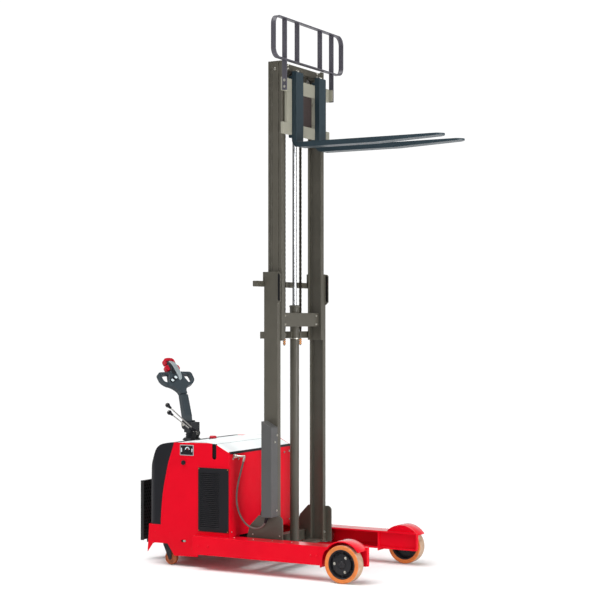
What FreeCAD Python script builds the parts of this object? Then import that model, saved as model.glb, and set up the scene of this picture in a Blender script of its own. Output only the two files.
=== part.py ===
"""Walkie reach stacker: moving two-stage mast on straddle legs, raised, with a fold-up rider platform.

Millimetres, +Z up, +X towards the fork tips, floor at Z = 0. Design stations along X are measured
from the chain pulleys; export() shifts them so that the origin is below the centre of the machine's box.
"""
import FreeCAD, Part
import math
import os

from FreeCAD import Rotation, Vector

# ---- driving dimensions -------------------------------------------------------------------------
X_ORIGIN = -3.8            # design X of the centre of the whole machine's box
STEER_REST = -22.0         # the tiller stands this many degrees off straight

BODY_REAR, BODY_FRONT = -973.0, -293.0
BODY_HALF = 430.0          # outer face of a side panel
SHEET = 6.0                # body sheet thickness
BODY_BOTTOM, BULKHEAD_TOP = 75.0, 809.0

LEG_REAR, LEG_WALL, LEG_FRONT = -549.0, 443.0, 746.0
LEG_IN, LEG_OUT = 368.0, 500.0
LEG_BOTTOM, LEG_TOP = 105.0, 230.0
LEG_PLATE = 12.0

LOAD_X, LOAD_R = 617.0, 125.0
TYRE_IN, TYRE_OUT, RIM_R = 437.0, 517.0, 97.0
STUB_R, FENDER_R = 17.5, 152.0

STEER_X = -883.0
DRIVE_R, DRIVE_HALF = 105.0, 35.0
NECK_R, DRIVE_PLATE_Z = 70.0, 296.0
RUNNING = 0.05             # radial clearance of a running fit

CASTER_X, CASTER_Y, CASTER_TRAIL = -825.0, 385.0, 28.0
CASTER_R, CASTER_HALF, CASTER_TOP = 50.0, 15.0, 152.0

MAST_REAR, MAST_FRONT, MAST_HALF = -70.0, 41.0, 344.0
MAST_FLANGE, MAST_PLATE = 38.0, 12.0
MAST_FOOT, MAST_TOP = 145.0, 2047.0
INNER_REAR, INNER_FRONT, INNER_HALF = -62.0, 49.0, 303.0
INNER_FOOT, INNER_TOP, INNER_FLANGE = 1576.0, 3495.0, 41.0

CYL_X, CYL_R, CYL_BORE, ROD_R = -23.0, 32.0, 26.0, 16.0
CYL_HEAD_Z = 1770.0
CHAIN_Y, CHAIN_WIDE, CHAIN_DEEP = 114.0, 16.0, 14.0
PULLEY_Z, PULLEY_R, PULLEY_SHAFT_R = 3385.0, 33.0, 8.0

REACH_Z, REACH_ROLLER_R = 167.5, 50.0
REACH_ROLLER_X = (-145.0, 20.0)

BAR_BACK, BAR_FRONT, BAR_HALF = 57.0, 77.0, 334.0
UPPER_BAR_Z, LOWER_BAR_Z = (3284.0, 3377.0), (2991.0, 3070.0)
FORK_Y, FORK_WIDE, FORK_THICK = 165.0, 100.0, 35.0
FORK_TIP_X, BLADE_TOP, SHANK_TOP = 1200.0, 2941.0, 3430.0

REST_HALF, REST_Z, REST_CORNER = 493.0, (3489.0, 3777.0), 65.0
REST_BACK, REST_WIDE, REST_THICK = 72.0, 36.0, 8.0

HINGE_X, HINGE_Z, PLATFORM_HALF = -1056.0, 130.0, 320.0
TRAY_X = HINGE_X - 54         # outer face of the folded-up tray
HOSE_R = 6.5
LEVER_X, LEVER_Z = -755.0, 906.0
LID_HINGE_X, LID_HINGE_Z = -649.0, 863.0


# ---- small helpers ------------------------------------------------------------------------------
def box(x0, x1, y0, y1, z0, z1):
    return Part.makeBox(x1 - x0, y1 - y0, z1 - z0, Vector(x0, y0, z0))


def rod(start, end, radius):
    """A round bar from one point to another."""
    a = Vector(*start)
    d = Vector(*end) - a
    return Part.makeCylinder(radius, d.Length, a, d)


def tube(start, end, outer, inner):
    return rod(start, end, outer).cut(rod(start, end, inner))


def wire(points):
    """A closed wire. A point is (a, b), or (a, b, "via") for the middle of an arc between neighbours."""
    edges = []
    count = len(points)
    i = 0
    while i < count:
        here = points[i]
        after = points[(i + 1) % count]
        if len(after) == 3:
            end = points[(i + 2) % count]
            edges.append(Part.Arc(Vector(here[0], 0, here[1]), Vector(after[0], 0, after[1]),
                                  Vector(end[0], 0, end[1])).toShape())
            i += 2
        else:
            edges.append(Part.makeLine(Vector(here[0], 0, here[1]), Vector(after[0], 0, after[1])))
            i += 1
    return Part.Wire(edges)


def side_prism(points, y0, y1):
    """An (X, Z) outline extruded from y0 to y1."""
    face = Part.Face(wire(points))
    face.translate(Vector(0, y0, 0))
    return face.extrude(Vector(0, y1 - y0, 0))


def turned(profile, centre, axis):
    """A closed (radius, height) profile turned round an axis through centre."""
    shape = Part.Face(wire(profile)).revolve(Vector(0, 0, 0), Vector(0, 0, 1), 360)
    shape.Placement = FreeCAD.Placement(Vector(*centre), Rotation(Vector(0, 0, 1), Vector(*axis)))
    return shape


def mirrored(shape):
    return shape.mirror(Vector(0, 0, 0), Vector(0, 1, 0))


def rounded(shape, radius, keep_edge):
    edges = [edge for edge in shape.Edges if keep_edge(edge)]
    return shape.makeFillet(radius, edges)


def edge_axis(edge, axis):
    """True for a straight edge along "X", "Y" or "Z"."""
    if not isinstance(edge.Curve, Part.Line):
        return False
    d = edge.Curve.Direction
    along = {"X": abs(d.x), "Y": abs(d.y), "Z": abs(d.z)}[axis]
    return along > 0.999


def fused(first, *others):
    shape = first.fuse(list(others)).removeSplitter()
    return shape.Solids[0] if len(shape.Solids) == 1 else shape


def export(name, *shapes):
    part = shapes[0] if len(shapes) == 1 else Part.makeCompound(list(shapes))
    moved = part.copy()
    moved.translate(Vector(-X_ORIGIN, 0, 0))
    moved.exportStep(os.path.join("parts", name + ".step"))
    print(name, len(moved.Solids), "solids", round(moved.Volume), moved.isValid())


def steered(shape):
    """Turns a shape built straight into the tiller's rest angle."""
    turned_shape = shape.copy()
    turned_shape.rotate(Vector(STEER_X, 0, 0), Vector(0, 0, 1), STEER_REST)
    return turned_shape


# ---- chassis ------------------------------------------------------------------------------------
def chassis_frame():
    floor = box(-745, BODY_FRONT - SHEET, -360, 360, 80, 88)
    bulkhead = box(BODY_FRONT - SHEET, BODY_FRONT, -BODY_HALF, BODY_HALF, LEG_TOP, BULKHEAD_TOP)
    leg_cross = box(LEG_REAR - LEG_PLATE, LEG_REAR, -424, 424, 88, LEG_TOP)
    leg_cross = leg_cross.cut(rod((-600, 0, REACH_Z), (-500, 0, REACH_Z), 30.5))
    plate = box(-954, -745, -424, 424, DRIVE_PLATE_Z, DRIVE_PLATE_Z + 12)
    plate = rounded(plate, 58, lambda e: edge_axis(e, "Z") and e.CenterOfMass.x < -950)
    plate = plate.cut(rod((STEER_X, 0, 280), (STEER_X, 0, 320), NECK_R + RUNNING))
    swing = rod((STEER_X, 0, 200), (STEER_X, 0, DRIVE_PLATE_Z), NECK_R + 7)
    rear_cross = box(-965, -954, -424, 424, 232, 280.5).cut(swing)
    rear_wall = box(-954, -948, -396, 396, 232, DRIVE_PLATE_Z).cut(swing)
    solids = [floor, bulkhead, leg_cross, plate, rear_cross, rear_wall]
    for y in (-300, 270):
        solids.append(box(LEG_REAR, -310, y, y + 30, 88, 240))
        solids.append(box(-640, LEG_REAR - LEG_PLATE, y, y + 30, 88, 240))
    for side in (-1, 1):
        low, high = sorted((side * 300, side * 424))
        pad = box(-930, -745, low, high, CASTER_TOP, CASTER_TOP + 8)
        solids.append(pad.cut(rod((CASTER_X, side * CASTER_Y, 150), (CASTER_X, side * CASTER_Y, 170), 12.05)))
        low, high = sorted((side * 300, side * 308))
        solids.append(box(-930, -745, low, high, CASTER_TOP + 8, DRIVE_PLATE_Z))
    solids.append(box(-745, -739, -424, -130, 88, 308))
    solids.append(box(-745, -739, 130, 424, 88, 308))
    return solids


def body_outline():
    """The side outline of the red body: tip, caster arch, step over the leg, slope, top, rear curve."""
    return [
        (BODY_REAR, 83), (-925, 150), (-804, 152), (-747, 71), (LEG_REAR, 75), (LEG_REAR, LEG_TOP),
        (BODY_FRONT - SHEET, LEG_TOP), (BODY_FRONT - SHEET, BULKHEAD_TOP - 4), (-401, 858),
        (-440, 865, "via"),
        (-500, 867), (-749, 861), (-799, 717), (-833, 566), (-853, 420, "via"), (-861, 281), (-960, 281),
    ]


def side_panel():
    """The right side panel, with its grille window, slot, key hole and tow eye slot."""
    panel = side_prism(body_outline(), -BODY_HALF, -BODY_HALF + SHEET)
    window = box(-533, -310, -450, -400, 268, 684)
    slot = fused(box(-434.5, -399.5, -450, -400, 773, 900), rod((-417, -450, 773), (-417, -400, 773), 17.5))
    key_hole = rod((-668, -450, 724), (-668, -400, 724), 11)
    eye = fused(box(-682, -656, -450, -400, 170, 186), rod((-682, -450, 178), (-682, -400, 178), 8),
                rod((-656, -450, 178), (-656, -400, 178), 8))
    for cutter in (window, slot, key_hole, eye):
        panel = panel.cut(cutter)
    return panel


def straddle_leg():
    """The right leg: inward-opening channel, then a narrower one beside the wheel, with its fender."""
    def wheel_clear(radius):
        return rod((LOAD_X, -LEG_OUT - 20, LOAD_R), (LOAD_X, -LEG_IN, LOAD_R), radius)
    step = -LEG_IN - 20
    under = LEG_TOP - LEG_PLATE
    web = box(LEG_REAR, 520, -LEG_OUT, -LEG_OUT + LEG_PLATE, LEG_BOTTOM, LEG_TOP).cut(wheel_clear(FENDER_R))
    cover = box(LEG_REAR, 520, -LEG_OUT + LEG_PLATE, step, under, LEG_TOP).cut(wheel_clear(FENDER_R))
    flange = box(LEG_REAR, LEG_FRONT, step, -LEG_IN, under, LEG_TOP)
    bottom = box(LEG_REAR, LEG_WALL, -LEG_OUT + LEG_PLATE, -LEG_IN, LEG_BOTTOM, LEG_BOTTOM + LEG_PLATE)
    low_flange = box(LEG_WALL + 8, LEG_FRONT, step, -LEG_IN, LEG_BOTTOM, LEG_BOTTOM + LEG_PLATE)
    wall = box(LEG_WALL, LEG_WALL + 8, -LEG_OUT + LEG_PLATE, -LEG_IN, 90, under)
    reach = math.sqrt(FENDER_R ** 2 - (under - LOAD_R) ** 2)
    inner_web = side_prism(
        [(LEG_WALL + 8, LEG_BOTTOM), (LEG_WALL + 8, under), (LOAD_X - reach, under),
         (LOAD_X, LOAD_R + FENDER_R, "via"), (LOAD_X + reach, under), (LEG_FRONT - 8, under),
         (LEG_FRONT - 8, LEG_BOTTOM)], step - LEG_PLATE, step)
    end = box(LEG_FRONT - 8, LEG_FRONT, step - LEG_PLATE, -LEG_IN, LEG_BOTTOM + LEG_PLATE, under)

    def on_arc(radius, degrees):
        angle = math.radians(degrees)
        return LOAD_X + radius * math.cos(angle), LOAD_R + radius * math.sin(angle)
    inside = FENDER_R - 8
    fender = side_prism(
        [on_arc(FENDER_R, 145), (LOAD_X, LOAD_R + FENDER_R, "via"), on_arc(FENDER_R, 35),
         on_arc(inside, 35), (LOAD_X, LOAD_R + inside, "via"), on_arc(inside, 145)],
        -512, step - LEG_PLATE)
    stub = rod((LOAD_X, step - LEG_PLATE, LOAD_R), (LOAD_X, -506, LOAD_R), STUB_R)
    nut = turned([(0, 0), (24, 0), (24, 6), (20, 9), (0, 9)], (LOAD_X, -506, LOAD_R), (0, -1, 0))
    collar = rod((LOAD_X, step - LEG_PLATE, LOAD_R), (LOAD_X, -435, LOAD_R), 26)
    channel_top = fused(cover, flange)
    return [web, channel_top, bottom, low_flange, wall, inner_web, fender, end, fused(stub, nut, collar)]


def rear_cover():
    """The black shell round the back of the body, with the opening for the tiller column."""
    def shell(inset):
        profile = [
            (-749, 861 - inset), (-800, 857 - inset, "via"), (-842, 849 - inset),
            (-890 + inset * 0.5, 823 - inset, "via"), (-912 + inset, 786),
            (-946 + inset, 699), (-964 + inset, 500, "via"), (-960 + inset, 281),
            (-861, 281), (-853, 420, "via"), (-833, 566), (-799, 717)]
        block = side_prism(profile, -BODY_HALF + inset, BODY_HALF - inset)
        plan = box(-1000, -700, -BODY_HALF + inset, BODY_HALF - inset, 200, 900)
        plan.translate(Vector(32 + inset, 0, 0))
        plan = rounded(plan, 60 - inset, lambda e: edge_axis(e, "Z") and e.Vertexes[0].X < -900)
        return block.common(plan)
    outer, inner = shell(0), shell(5)
    inner_long = inner.fuse(box(-900, -745, -BODY_HALF + 5, BODY_HALF - 5, 281, 700)).common(
        side_prism([(-960, 275), (-955, 720), (-905, 790), (-842, 844), (-740, 856), (-740, 275)],
                   -BODY_HALF + 5, BODY_HALF - 5))
    cover = outer.cut(inner_long)
    return cover.cut(rod((STEER_X, 0, 700), (STEER_X, 0, 900), 50))


def control_deck():
    """The fixed top plate between the rear cover and the battery lid."""
    plate = box(-748.5, -655, -423, 423, 850, 858)
    rib = box(-748.5, -742, -423, 423, 790, 850)
    plate = plate.cut(rod((-700, 0, 840), (-700, 0, 870), 15))
    knuckles = []
    for y in (-270, 236):
        leaf = side_prism([(-666, 857), (-654, 857), (LID_HINGE_X - 1, 860), (LID_HINGE_X - 1, 866),
                           (-666, 861)], y, y + 34)
        knuckles.append(leaf)
        knuckles.append(rod((LID_HINGE_X, y, LID_HINGE_Z), (LID_HINGE_X, y + 34, LID_HINGE_Z), 4.5))
    pins = [rod((LID_HINGE_X, -236.5, LID_HINGE_Z), (LID_HINGE_X, -200, LID_HINGE_Z), 2),
            rod((LID_HINGE_X, 200, LID_HINGE_Z), (LID_HINGE_X, 236.5, LID_HINGE_Z), 2)]
    return fused(plate, rib, *knuckles, *pins)


def battery_lid():
    """The hood over the battery: flat top, sloping front, side skirts and two hinge knuckles."""
    front = BODY_FRONT - SHEET
    outer = [(-652, 800), (-652, 858), (-500, 862), (-405, 857), (front, 806), (front, 797)]
    inner = [(-646, 790), (-646, 853), (-500, 857), (-407, 851), (-305, 802), (-305, 790)]
    lid = side_prism(outer, -423, 423).cut(side_prism(inner, -418, 418))
    raised = side_prism([(-632, 850), (-632, 869), (-500, 869), (-462, 864), (-430, 850)], -402, 402)
    hollow = side_prism([(-626, 840), (-626, 864), (-500, 864), (-462, 859), (-436, 840)], -396, 396)
    raised = raised.cut(hollow)
    slot_clear = box(-437, -397, -430, -418, 780, 870)
    hinges = []
    for y in (-235, 200):
        hinges.append(box(LID_HINGE_X, -640, y, y + 35, 856, 861))
        hinges.append(rod((LID_HINGE_X, y, LID_HINGE_Z), (LID_HINGE_X, y + 35, LID_HINGE_Z), 4.5))
    body = fused(lid.cut(box(-628, -440, -400, 400, 848, 862)), raised, *hinges)
    bore = rod((LID_HINGE_X, -240, LID_HINGE_Z), (LID_HINGE_X, 240, LID_HINGE_Z), 2 + RUNNING)
    return body.cut(slot_clear).cut(bore)


def side_grille():
    """The right louvred panel over the side window."""
    plate = box(-545, -298, -BODY_HALF - 6, -BODY_HALF, 256, 696)
    plate = rounded(plate, 2, lambda e: abs(e.CenterOfMass.y + BODY_HALF + 6) < 0.01)
    rows = 28
    for row in range(rows):
        z = 286 + row * 13.6
        plate = plate.cut(box(-530, -372, -BODY_HALF - 10, -BODY_HALF + 2, z, z + 7))
    return plate


def battery():
    """Steel tray with twelve cells and their links."""
    tray = box(-640, -310, -330, 330, 240, 620).cut(box(-634, -316, -324, 324, 246, 630))
    solids = [tray]
    for i in range(2):
        for j in range(6):
            x = -633 + i * 159
            y = -323 + j * 108
            cell = box(x, x + 156, y, y + 105, 247, 700)
            posts = [rod((x + 40, y + 52, 700), (x + 40, y + 52, 712), 9),
                     rod((x + 116, y + 52, 700), (x + 116, y + 52, 712), 9)]
            solids.append(fused(cell, *posts))
    for j in range(6):
        y = -323 + j * 108 + 52
        solids.append(box(-525, -426, y - 8, y + 8, 712, 717))
    return solids


def hydraulic_unit():
    """Oil tank with filler, pump motor and gear pump, on the drive plate."""
    base = DRIVE_PLATE_Z + 12
    tank = rounded(box(-945, -765, 140, 400, base, base + 190), 14, lambda e: edge_axis(e, "Z"))
    filler = rod((-800, 360, base + 190), (-800, 360, base + 215), 18)
    motor = rod((-860, 250, base + 240), (-860, 250, base + 400), 62)
    pump = box(-895, -825, 215, 285, base + 190, base + 240)
    return [fused(tank, filler), pump, motor]


def motor_controller():
    """Finned controller with its two cable terminals."""
    base = DRIVE_PLATE_Z + 12
    case = box(-940, -780, -400, -200, base, base + 50)
    for i in range(9):
        case = case.cut(box(-935, -785, -392 + i * 22, -382 + i * 22, base + 32, base + 60))
    studs = [rod((x, -150, base), (x, -150, base + 60), 3) for x in (-800, -770)]
    block = box(-815, -755, -165, -135, base, base + 12)
    return [case, fused(block, *studs)]


def reach_cylinder():
    """The barrel of the cylinder that pushes the mast along the legs."""
    barrel = rod((-735, 0, REACH_Z), (-262, 0, REACH_Z), 30)
    hollow = rod((-725, 0, REACH_Z), (-280, 0, REACH_Z), 24)
    gland_hole = rod((-290, 0, REACH_Z), (-250, 0, REACH_Z), 15 + RUNNING)
    foot = box(-730, -700, -30, 30, 88, REACH_Z)
    foot = foot.cut(rod((-740, 0, REACH_Z), (-690, 0, REACH_Z), 30))
    return [barrel.cut(hollow).cut(gland_hole), foot]


def lever_bracket():
    """The bracket beside the column that carries the two hand levers on one pin."""
    foot = box(-790, -752, -162, -101, 861, 867)
    cheek = side_prism([(-785, 867), (-757, 867), (-741, 900), (-741, 918), (-769, 918)], -111, -106)
    outer = cheek.copy()
    outer.translate(Vector(0, -47, 0))
    pin = rod((LEVER_X, -106, LEVER_Z), (LEVER_X, -158, LEVER_Z), 4)
    return [foot, fused(cheek, outer, pin)]


def platform_bracket():
    """The hinge bracket of the rider platform, bolted to the rear cross-member."""
    back = box(-973, -965, -260, 260, 225, 275)
    ear = side_prism([(-973, 275), (-973, 225), (-1000, 190), (HINGE_X + 18, 130), (HINGE_X, 112, "via"),
                      (HINGE_X - 18, 130), (HINGE_X - 14, 150), (-1012, 262), (-1000, 275)], -256, -244)
    ears = [ear, mirrored(ear)]
    inner_ear = ear.copy()
    inner_ear.translate(Vector(0, 70, 0))
    ears += [inner_ear, mirrored(inner_ear)]
    pins = [rod((HINGE_X, s * 262, HINGE_Z), (HINGE_X, s * 168, HINGE_Z), 8) for s in (-1, 1)]
    lugs = [fused(*[e for e in ears if e.CenterOfMass.y * s > 0], p) for s, p in zip((-1, 1), pins)]
    return [back] + lugs


ELBOW_X, ELBOW_Z, HOSE_Y = -207.0, 781.0, -372.0
HOSE_ROUTE = [(-216, HOSE_Y, 748), (-231, HOSE_Y, 693), (-252, -373, 624), (-266, -374, 552),
              (-270, -376, 480), (-256, -377, 412), (-222, -378, 350), (-172, -380, 306),
              (-118, -381, 293), (-72, -383, 302), (-38, -385, 331), (-22, -386, 372)]


def hose_elbow():
    """Bulkhead union with a right-angle elbow and a crimped ferrule."""
    flange = rod((BODY_FRONT, HOSE_Y, ELBOW_Z), (BODY_FRONT + 8, HOSE_Y, ELBOW_Z), 15)
    hexagon = Part.makePolygon([Vector(BODY_FRONT + 8, HOSE_Y + 13 * math.cos(math.radians(60 * k)),
                                       ELBOW_Z + 13 * math.sin(math.radians(60 * k))) for k in range(7)])
    nut = Part.Face(hexagon).extrude(Vector(18, 0, 0))
    level = rod((BODY_FRONT + 26, HOSE_Y, ELBOW_Z), (ELBOW_X, HOSE_Y, ELBOW_Z), 7.5)
    knuckle = Part.makeSphere(9.5, Vector(ELBOW_X, HOSE_Y, ELBOW_Z))
    ferrule = rod((ELBOW_X, HOSE_Y, ELBOW_Z), HOSE_ROUTE[0], 8.5)
    return fused(flange, nut, level, knuckle, ferrule)


def cord_tube(points, radius, label):
    """A tube along straight runs joined by tangent arcs, each as large as its runs allow."""
    p = [Vector(*q) for q in points]
    edges = []
    here = p[0]
    for i in range(1, len(p) - 1):
        into = p[i] - p[i - 1]
        out = p[i + 1] - p[i]
        turn = into.getAngle(out)
        bend = 0.45 * min(into.Length, out.Length) / math.tan(turn / 2)
        cut = bend * math.tan(turn / 2)
        into.normalize()
        out.normalize()
        start = p[i] - into * cut
        end = p[i] + out * cut
        middle = (start + end) * 0.5
        centre = p[i] + (middle - p[i]).normalize() * (bend / math.cos(turn / 2))
        via = centre + (p[i] - centre).normalize() * bend
        edges.append(Part.LineSegment(here, start).toShape())
        edges.append(Part.Arc(start, via, end).toShape())
        print(label, "radius", round(bend, 1))
        here = end
    edges.append(Part.LineSegment(here, p[-1]).toShape())
    path = Part.Wire(edges)
    ring = Part.Wire([Part.makeCircle(radius, p[0], p[1] - p[0])])
    swept = path.makePipeShell([ring], True, True)
    print(label, "length", round(path.Length), "volume ratio",
          round(swept.Volume / (math.pi * radius ** 2 * path.Length), 4))
    return swept


# ---- drive unit and tiller ----------------------------------------------------------------------
def drive_gearbox():
    """Neck in the drive plate, top casting and the leg that carries the wheel axle."""
    neck = rod((STEER_X, 0, 280), (STEER_X, 0, DRIVE_PLATE_Z + 22), NECK_R)
    top = rod((STEER_X, 0, 226), (STEER_X, 0, 280), NECK_R)
    leg = side_prism([(STEER_X - 30, 270), (STEER_X - 30, DRIVE_R), (STEER_X, DRIVE_R - 30, "via"),
                      (STEER_X + 30, DRIVE_R), (STEER_X + 30, 270)], 44, 66)
    axle = rod((STEER_X, 44, DRIVE_R), (STEER_X, -38, DRIVE_R), 15)
    rim = rod((STEER_X, 0, DRIVE_PLATE_Z + 12.3), (STEER_X, 0, DRIVE_PLATE_Z + 22), NECK_R + 2)
    return fused(neck, top, leg, axle, rim)


def drive_motor():
    base = DRIVE_PLATE_Z + 22
    return turned([(0, 0), (66, 0), (66, 190), (54, 202), (0, 202)], (STEER_X, 0, base), (0, 0, 1))


def drive_wheel():
    bore, half = 15 + RUNNING, DRIVE_HALF
    profile = [(bore, -30), (32, -30), (32, -12), (88, -12), (88, -half), (100, -half), (DRIVE_R, 6 - half),
               (DRIVE_R, half - 6), (100, half), (88, half), (88, 12), (32, 12), (32, 30), (bore, 30)]
    return turned(profile, (STEER_X, 0, DRIVE_R), (0, 1, 0))


TILT_S, TILT_Z = 48.0, 957.0      # tilt pivot, behind the column's axis
TILLER_NECK = (112.0, 1170.0)      # where the arm meets the head
TILLER_END = (300.0, 1395.0)      # a point further along the head


def behind(s):
    """Design X of a point s behind the column axis, before the tiller is turned."""
    return STEER_X - s


def tiller_column():
    """Column on the motor, with the square housing and the clevis for the arm."""
    shaft = rod((STEER_X, 0, DRIVE_PLATE_Z + 224), (STEER_X, 0, 800), 30)
    sleeve = turned([(0, 800), (42, 800), (42, 846), (45, 850), (45, 858), (42, 862), (42, 900), (0, 900)],
                    (STEER_X, 0, 0), (0, 0, 1))
    housing = box(STEER_X - 43, STEER_X + 43, -43, 43, 900, 975)
    housing = rounded(housing, 8, lambda e: edge_axis(e, "Z"))
    ear = side_prism([(behind(20), 935), (behind(20), 985), (behind(62), 985), (behind(72), 957, "via"),
                      (behind(62), 928), (behind(40), 920)], -43, -33)
    gap = box(behind(75), behind(16), -33, 33, 918, 990)
    pin = rod((behind(TILT_S), -46, TILT_Z), (behind(TILT_S), 46, TILT_Z), 8)
    body = fused(shaft, sleeve, housing.cut(gap), ear, mirrored(ear))
    return fused(body, pin)


def arm_frame():
    """Direction of the arm from the tilt pivot towards the head, in the straight tiller's plane."""
    ds = TILLER_NECK[0] - TILT_S
    dz = TILLER_NECK[1] - TILT_Z
    length = math.hypot(ds, dz)
    return ds / length, dz / length, length


def tiller_arm():
    """Tapered arm: boss round the tilt pin, oval tube up to the head."""
    ux, uz, length = arm_frame()
    boss = rod((behind(TILT_S), -32, TILT_Z), (behind(TILT_S), 32, TILT_Z), 16)
    boss = boss.cut(rod((behind(TILT_S), -40, TILT_Z), (behind(TILT_S), 40, TILT_Z), 8 + RUNNING))

    def section(t, half_wide, half_deep):
        centre = Vector(behind(TILT_S + ux * t), 0, TILT_Z + uz * t)
        along = Vector(-ux, 0, uz)
        across = Vector(0, 1, 0)
        deep = across.cross(along)
        corners = [centre + across * (a * half_wide) + deep * (b * half_deep)
                   for a, b in ((1, 1), (-1, 1), (-1, -1), (1, -1))]
        return Part.makePolygon(corners + [corners[0]])
    sections = [section(14, 30, 18), section(60, 31, 25), section(length - 2, 29, 22)]
    tube_body = Part.makeLoft(sections, True, True)
    tube_body = tube_body.cut(rod((behind(TILT_S), -40, TILT_Z), (behind(TILT_S), 40, TILT_Z), 16))
    return fused(boss, tube_body)


def head_place():
    """Placement of the head: local x across the tiller, local y along it, local z out of its upper face."""
    ds = TILLER_END[0] - TILLER_NECK[0]
    dz = TILLER_END[1] - TILLER_NECK[1]
    angle = math.atan2(ds, dz)
    along = Vector(-math.sin(angle), 0, math.cos(angle))
    across = Vector(0, 1, 0)
    out = across.cross(along)
    rotation = Rotation(across, along, out, "XYZ")
    return FreeCAD.Placement(Vector(behind(TILLER_NECK[0]), 0, TILLER_NECK[1]), rotation)


def flat(points, z0, z1):
    """A closed (x, y) outline of the head, extruded from z0 to z1 in its own frame."""
    shape = Part.Face(wire(points))
    shape.rotate(Vector(0, 0, 0), Vector(1, 0, 0), -90)
    shape.translate(Vector(0, 0, z0))
    return shape.extrude(Vector(0, 0, z1 - z0))


def in_head(shape):
    placed = shape.copy()
    placed.Placement = head_place().multiply(placed.Placement)
    return placed


HEAD_HALF, HEAD_LONG, SPINE_HALF = 150.0, 300.0, 30.0
THROTTLE_Y = 240.0
ROCKER_X, ROCKER_Y, ROCKER_TURN = -34.0, 132.0, 33.5


def crown(points, half):
    """A closed (y, z) outline of the head, extruded across it from -half to half."""
    shape = Part.Face(wire(points)).extrude(Vector(0, 2 * half, 0))
    shape.rotate(Vector(0, 0, 0), Vector(0, 0, 1), 90)
    shape.translate(Vector(half, 0, 0))
    return shape


def at_rocker(shape):
    """Turns a shape made along x round z and moves it to the rocker's place on the head."""
    shape.rotate(Vector(0, 0, 0), Vector(0, 0, 1), ROCKER_TURN)
    shape.translate(Vector(ROCKER_X, ROCKER_Y, 0))
    return shape


def tiller_head():
    """Crowned spine with a loop grip on each side, pockets for the rocker and belly switch, throttle bore."""
    outline = [(-29, 0), (-34, 30), (-54, 56, "via"), (-92, 80), (-134, 106, "via"), (-HEAD_HALF, 136),
               (-HEAD_HALF, 176), (-143, 194, "via"), (-126, 200), (-36, 204), (-SPINE_HALF, 212),
               (SPINE_HALF, 212), (36, 204), (126, 200), (143, 194, "via"), (HEAD_HALF, 176),
               (HEAD_HALF, 136), (134, 106, "via"), (92, 80), (54, 56, "via"), (34, 30), (29, 0)]
    hole = flat([(-84, 104), (-108, 108), (-124, 122, "via"), (-128, 142), (-128, 168), (-124, 178, "via"),
                 (-112, 180), (-58, 186)], -30, 30)
    plate = flat(outline, -19, 19).cut(hole).cut(hole.mirror(Vector(0, 0, 0), Vector(1, 0, 0)))
    spine = crown([(176, 10), (204, 32), (246, 41, "via"), (284, 31), (HEAD_LONG, 10), (HEAD_LONG, -22),
                   (206, -22), (176, -10)], SPINE_HALF)
    body = fused(plate, spine).cut(rod((-60, THROTTLE_Y, 2), (60, THROTTLE_Y, 2), 5 + RUNNING))
    body = body.cut(at_rocker(box(-38.5, 38.5, -14, 14, 3, 60)))
    body = body.cut(at_rocker(rod((0, -17, 12), (0, 17, 12), 2.5 + RUNNING)))
    return body.cut(rod((0, HEAD_LONG - 16, 0), (0, HEAD_LONG + 5, 0), 9))


def throttle():
    """Butterfly: a paddle on each side of the spine, on one shaft."""
    shaft = rod((-40, THROTTLE_Y, 2), (40, THROTTLE_Y, 2), 5)
    inside = SPINE_HALF + 0.6
    paddle = flat([(inside, THROTTLE_Y - 20), (inside, THROTTLE_Y + 18), (44, THROTTLE_Y + 24, "via"),
                   (58, THROTTLE_Y + 16), (62, THROTTLE_Y, "via"), (58, THROTTLE_Y - 16),
                   (44, THROTTLE_Y - 24, "via")], -14, 22)
    return fused(shaft, paddle, paddle.mirror(Vector(0, 0, 0), Vector(1, 0, 0)))


def belly_switch():
    """The spring-loaded reversing button that wraps round the end of the head."""
    base, back = HEAD_LONG + 6, HEAD_LONG - 22
    pad = flat([(-31, base), (-31, back), (-45, back), (-46, base), (-38, base + 18, "via"), (-20, base + 25),
                (0, base + 27, "via"), (20, base + 25), (38, base + 18, "via"), (46, base), (45, back),
                (31, back), (31, base)], -19, 20)
    return fused(pad, rod((0, HEAD_LONG - 10, 0), (0, base + 2, 0), 8.9))


def lift_rocker():
    """Rocker that raises at one end and lowers at the other, on a pin across its pocket."""
    key = box(-36, 36, -12, 12, 9, 23)
    return at_rocker(fused(key, rod((0, -17, 12), (0, 17, 12), 2.5)))


def hand_lever(y, knob_x, knob_z):
    """A thin rod with a round knob, on the bracket's pin."""
    pivot = Vector(LEVER_X, y, LEVER_Z)
    knob = Vector(knob_x, y, knob_z)
    reach = (knob - pivot).Length
    hub = tube((pivot.x, y - 5, pivot.z), (pivot.x, y + 5, pivot.z), 10, 4 + RUNNING)
    stem = turned([(0, 8.5), (4.4, 8.5), (4.4, reach - 22), (7, reach - 22), (11, reach - 4, "via"),
                   (17, reach + 10), (14, reach + 21, "via"), (5, reach + 26), (0, reach + 26)],
                  tuple(pivot), tuple(knob - pivot))
    return fused(hub, stem)


def emergency_stop():
    profile = [(0, 846), (14.5, 846), (14.5, 862), (26, 864), (26, 876), (20, 882), (0, 883)]
    return turned(profile, (-700, 0, 0), (0, 0, 1))


def key_switch():
    """Round switch in the right side panel, with a turning bar."""
    stem = rod((-668, -424, 724), (-668, -436, 724), 10.95)
    head = rod((-668, -BODY_HALF - 0.3, 724), (-668, -440, 724), 16)
    bar = box(-672, -664, -450, -440, 711, 737)
    return fused(stem, head, bar)


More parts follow.
